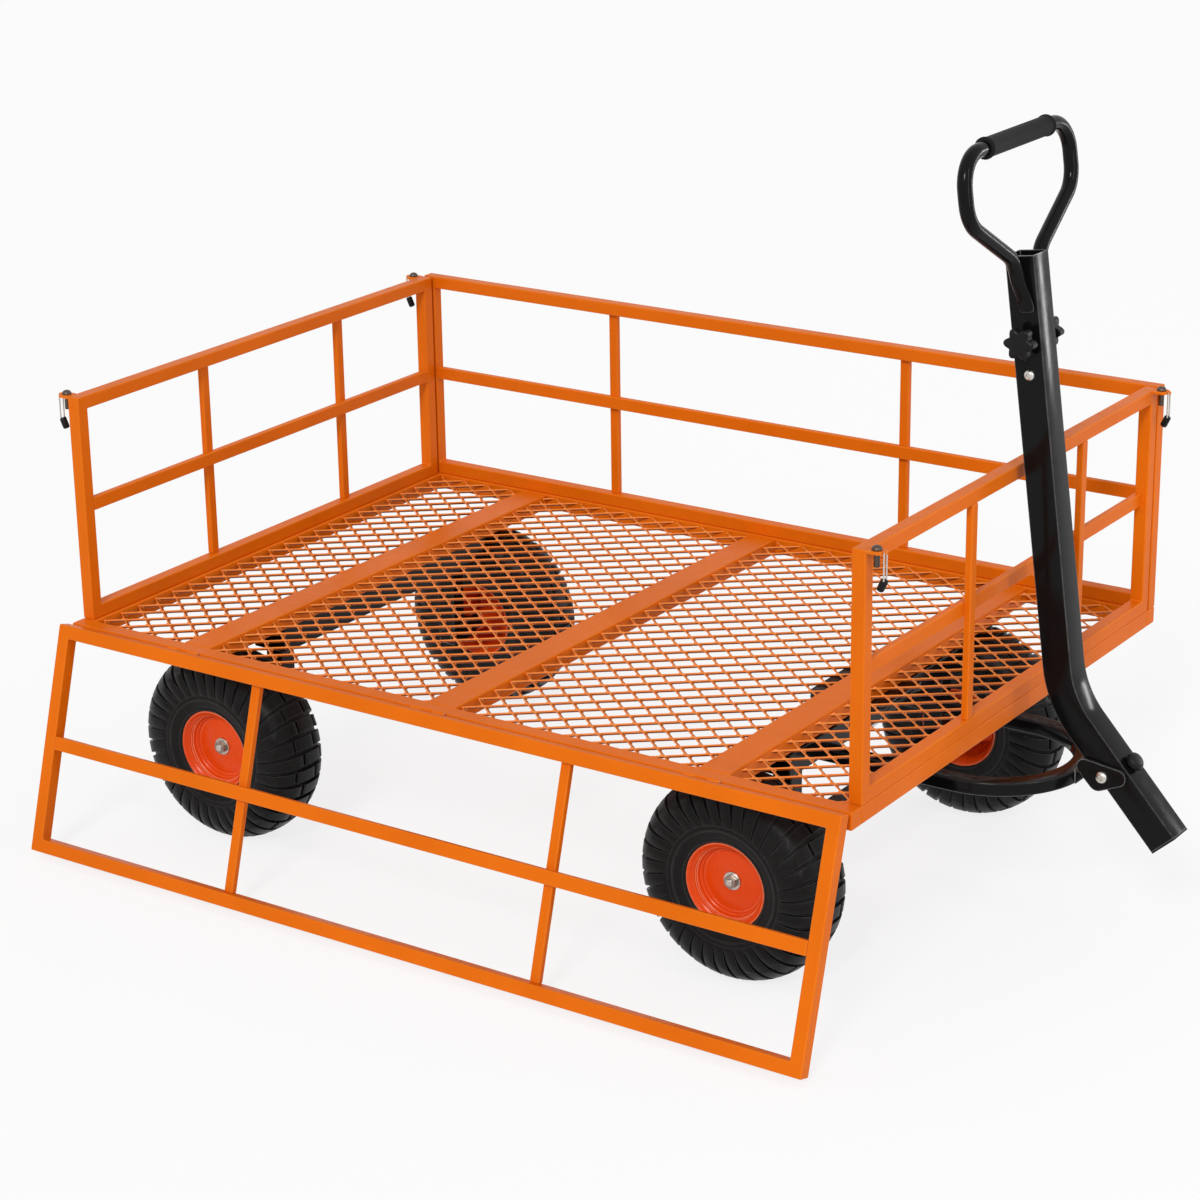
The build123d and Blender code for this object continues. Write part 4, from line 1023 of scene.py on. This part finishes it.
route = [on_loop(-y, up) for y, up in half_loop] + [on_loop(y, up) for y, up in reversed(half_loop)]
bm = bmesh.new()
bmesh.ops.create_circle(bm, cap_ends=True, segments=24, radius=bar_radius,
                        matrix=across(route[0], top_way, (0, 1, 0)))
run_along(bm, bm.faces[:], route, bar_bend, 12)
eased(bm, [e for f in bm.faces if len(f.verts) > 4 for e in f.edges], bar_end_edge, 3)
for v in bm.verts:
    flat = max(0.0, min(1.0, (flat_up - (v.co - foot).dot(top_way)) / flat_run))
    flat = flat * flat * (3 - 2 * flat)
    if flat > 0:
        gap = abs(v.co.y) - face_side
        sideways = (v.co - foot).dot(thick_way)
        v.co.y = math.copysign(face_side + weld_line + gap * (1 - flat_thinner * flat), v.co.y)
        v.co += thick_way * (sideways * flat_wider + flat_forward) * flat
piece("grip_loop_bar", bm, black_coat, "handle", ["grip_bar"])


# Grip sleeve: a tube of soft matt black foam pushed over the loop's top, with a ribbed collar at each end.
# The outline gives radius and distance from the middle in mm, for one end.
half_sleeve = ((13.2, 82.6), (13.5, 83.8), (14.3, 84.1), (14.6, 84.8), (14.3, 85.5), (13.5, 85.8),
               (13.5, 86.1), (14.3, 86.4), (14.6, 87.0), (14.2, 87.7), (13.2, 88.0), (10.1, 88.0))
grip_foam = moulded_black("grip_foam", shade=0.009, roughness=(0.55, 0.72), shine=0.12, pitted=0.5,
                          pores_per_metre=1300)
outline = [(radius, -along) for radius, along in reversed(half_sleeve)] + list(half_sleeve)
bm = bmesh.new()
lathe(bm, outline, 48, across(on_loop(0, grip_up), (0, 1, 0), (1, 0, 0)) @ in_mm, closed=True)
sleeve = piece("foam_sleeve", bm, grip_foam, "handle", ["grip_sleeve"])


# Star knobs: six-lobed moulded black knobs, each on a short boss, that turn on the stud at both sides of
# the handle tube.
knob_radius = 0.022
knob_height = 0.027
knob_seat = 0.02185
knob_edge = 0.0009
lobe_count = 6
lobe_share = 0.30
lobe_round = 0.75
boss_radius = 0.011
boss_height = 0.011
boss_lap = 0.001
disc_height = 0.0125
disc_slopes = ((0.0016, 0.0016), (0.0022, 0.0009))
cap_radius = 0.0078
cap_depth = 0.004

for place, side in (("near", -1), ("far", 1)):
    bm = bmesh.new()
    made = bmesh.ops.create_circle(bm, cap_ends=True, segments=84, radius=knob_radius)
    for v in made["verts"]:
        lobe = 0.5 + 0.5 * math.cos(lobe_count * math.atan2(v.co.y, v.co.x))
        v.co *= 1 - lobe_share + lobe_share * lobe ** lobe_round
        v.co.z = boss_height
    faces = pushed(bm, bm.faces[:], (0, 0, disc_height))
    for thickness, rise in disc_slopes:
        bmesh.ops.inset_region(bm, faces=faces, thickness=thickness, depth=rise)
    bmesh.ops.remove_doubles(bm, verts=bm.verts, dist=2 * same_point)
    round_bar(bm, (0, 0, knob_height - cap_depth), (0, 0, knob_height), cap_radius, 40)
    round_bar(bm, (0, 0, 0), (0, 0, boss_height + boss_lap), boss_radius, 40)
    seat = (stud.x, side * knob_seat, stud.z)
    bmesh.ops.transform(bm, matrix=across(seat, (0, side, 0), (1, 0, 0)), verts=bm.verts)
    piece("lobed_knob_" + place, bm, black_plastic, "knob_" + place, ["star_knob_" + place],
          knob_edge, 2)


# Studio: a white floor under the wheels that shows only a light shadow, an even white surround, a broad
# key light and two strip lights, seen by a long-lens camera from the gate side, a little to the handle end.
floor_z = -0.333
floor_half = 20
white = (1, 1, 1, 1)
camera_spot = (2.4169, -3.5800, 1.5669)
yaw, pitch, roll = (math.radians(angle) for angle in (34.28, 19.67, 0.87))
bm = bmesh.new()
bmesh.ops.create_grid(bm, x_segments=1, y_segments=1, size=floor_half,
                      matrix=Matrix.Translation((0, 0, floor_z)))
floor_mesh = bpy.data.meshes.new("studio_floor")
bm.to_mesh(floor_mesh)
bm.free()
floor = bpy.data.objects.new("studio_floor", floor_mesh)
bpy.context.scene.collection.objects.link(floor)


def seen_white(tree, lit, glow, share, output):
    """Shows a white glow in place of part of the lit surface to the camera, to gloss and to glass."""
    rays = added(tree, "ShaderNodeLightPath", {}).outputs
    seen = added(tree, "ShaderNodeMath", {0: rays["Is Camera Ray"], 1: rays["Is Glossy Ray"]},
                 operation="MAXIMUM").outputs["Value"]
    seen = added(tree, "ShaderNodeMath", {0: seen, 1: rays["Is Transmission Ray"]},
                 operation="MAXIMUM").outputs["Value"]
    part = added(tree, "ShaderNodeMath", {0: seen, 1: share}, operation="MULTIPLY").outputs["Value"]
    glow = added(tree, glow, {"Color": white, "Strength": 1})
    choice = added(tree, "ShaderNodeMixShader", {"Fac": part, 1: lit.outputs[0], 2: glow.outputs[0]})
    tree.links.new(choice.outputs["Shader"], tree.nodes[output].inputs["Surface"])


floor_paint = bpy.data.materials.new("floor_paint")
floor_paint.use_nodes = True
paint = floor_paint.node_tree.nodes["Principled BSDF"]
paint.inputs["Base Color"].default_value = (0.93, 0.93, 0.93, 1)
paint.inputs["Roughness"].default_value = 0.9
paint.inputs["Specular IOR Level"].default_value = 0.1
seen_white(floor_paint.node_tree, paint, "ShaderNodeEmission", 0.8, "Material Output")
floor_mesh.materials.append(floor_paint)

surround = bpy.data.worlds.new("white_surround")
surround.use_nodes = True
bpy.context.scene.world = surround
backdrop = surround.node_tree.nodes["Background"]
backdrop.inputs["Color"].default_value = white
backdrop.inputs["Strength"].default_value = 0.60
seen_white(surround.node_tree, backdrop, "ShaderNodeBackground", 1, "World Output")


def studio_light(name, kind, spot, aim, power):
    """Light of one kind looking at a point."""
    lamp = bpy.data.lights.new(name, kind)
    lamp.energy = power
    item = bpy.data.objects.new(name, lamp)
    item.location = spot
    item.rotation_euler = (Vector(aim) - Vector(spot)).to_track_quat("-Z", "Y").to_euler()
    bpy.context.scene.collection.objects.link(item)
    return lamp


key = studio_light("key_light", "SUN", (1.2, -4.0, 3.0), (0, 0, 0), 1.4)
key.angle = math.radians(14)
for name, spot, aim, power, tall in (("side_strip", (3.4, -0.6, 1.6), (0.5, 0, 0.2), 16, 2.4),
                                     ("back_strip", (2.7, 3.4, 0.5), (0.7, 0, 0.2), 14, 1.2)):
    lamp = studio_light(name, "AREA", spot, aim, power)
    lamp.shape = "RECTANGLE"
    lamp.size = 0.20
    lamp.size_y = tall

ahead = Vector((-math.sin(yaw) * math.cos(pitch), math.cos(yaw) * math.cos(pitch), -math.sin(pitch)))
right = Vector((math.cos(yaw), math.sin(yaw), 0))
down = ahead.cross(right)
tilted_right = right * math.cos(roll) + down * math.sin(roll)
tilted_up = right * math.sin(roll) - down * math.cos(roll)
lens = bpy.data.cameras.new("photo_camera")
lens.sensor_width = 36
lens.lens = 93.42
lens.clip_end = 100
camera = bpy.data.objects.new("photo_camera", lens)
turn = Matrix((tilted_right, tilted_up, -ahead)).transposed().to_4x4()
camera.matrix_world = Matrix.Translation(camera_spot) @ turn
bpy.context.scene.collection.objects.link(camera)
bpy.context.scene.camera = camera
bpy.context.scene.view_settings.view_transform = "Standard"
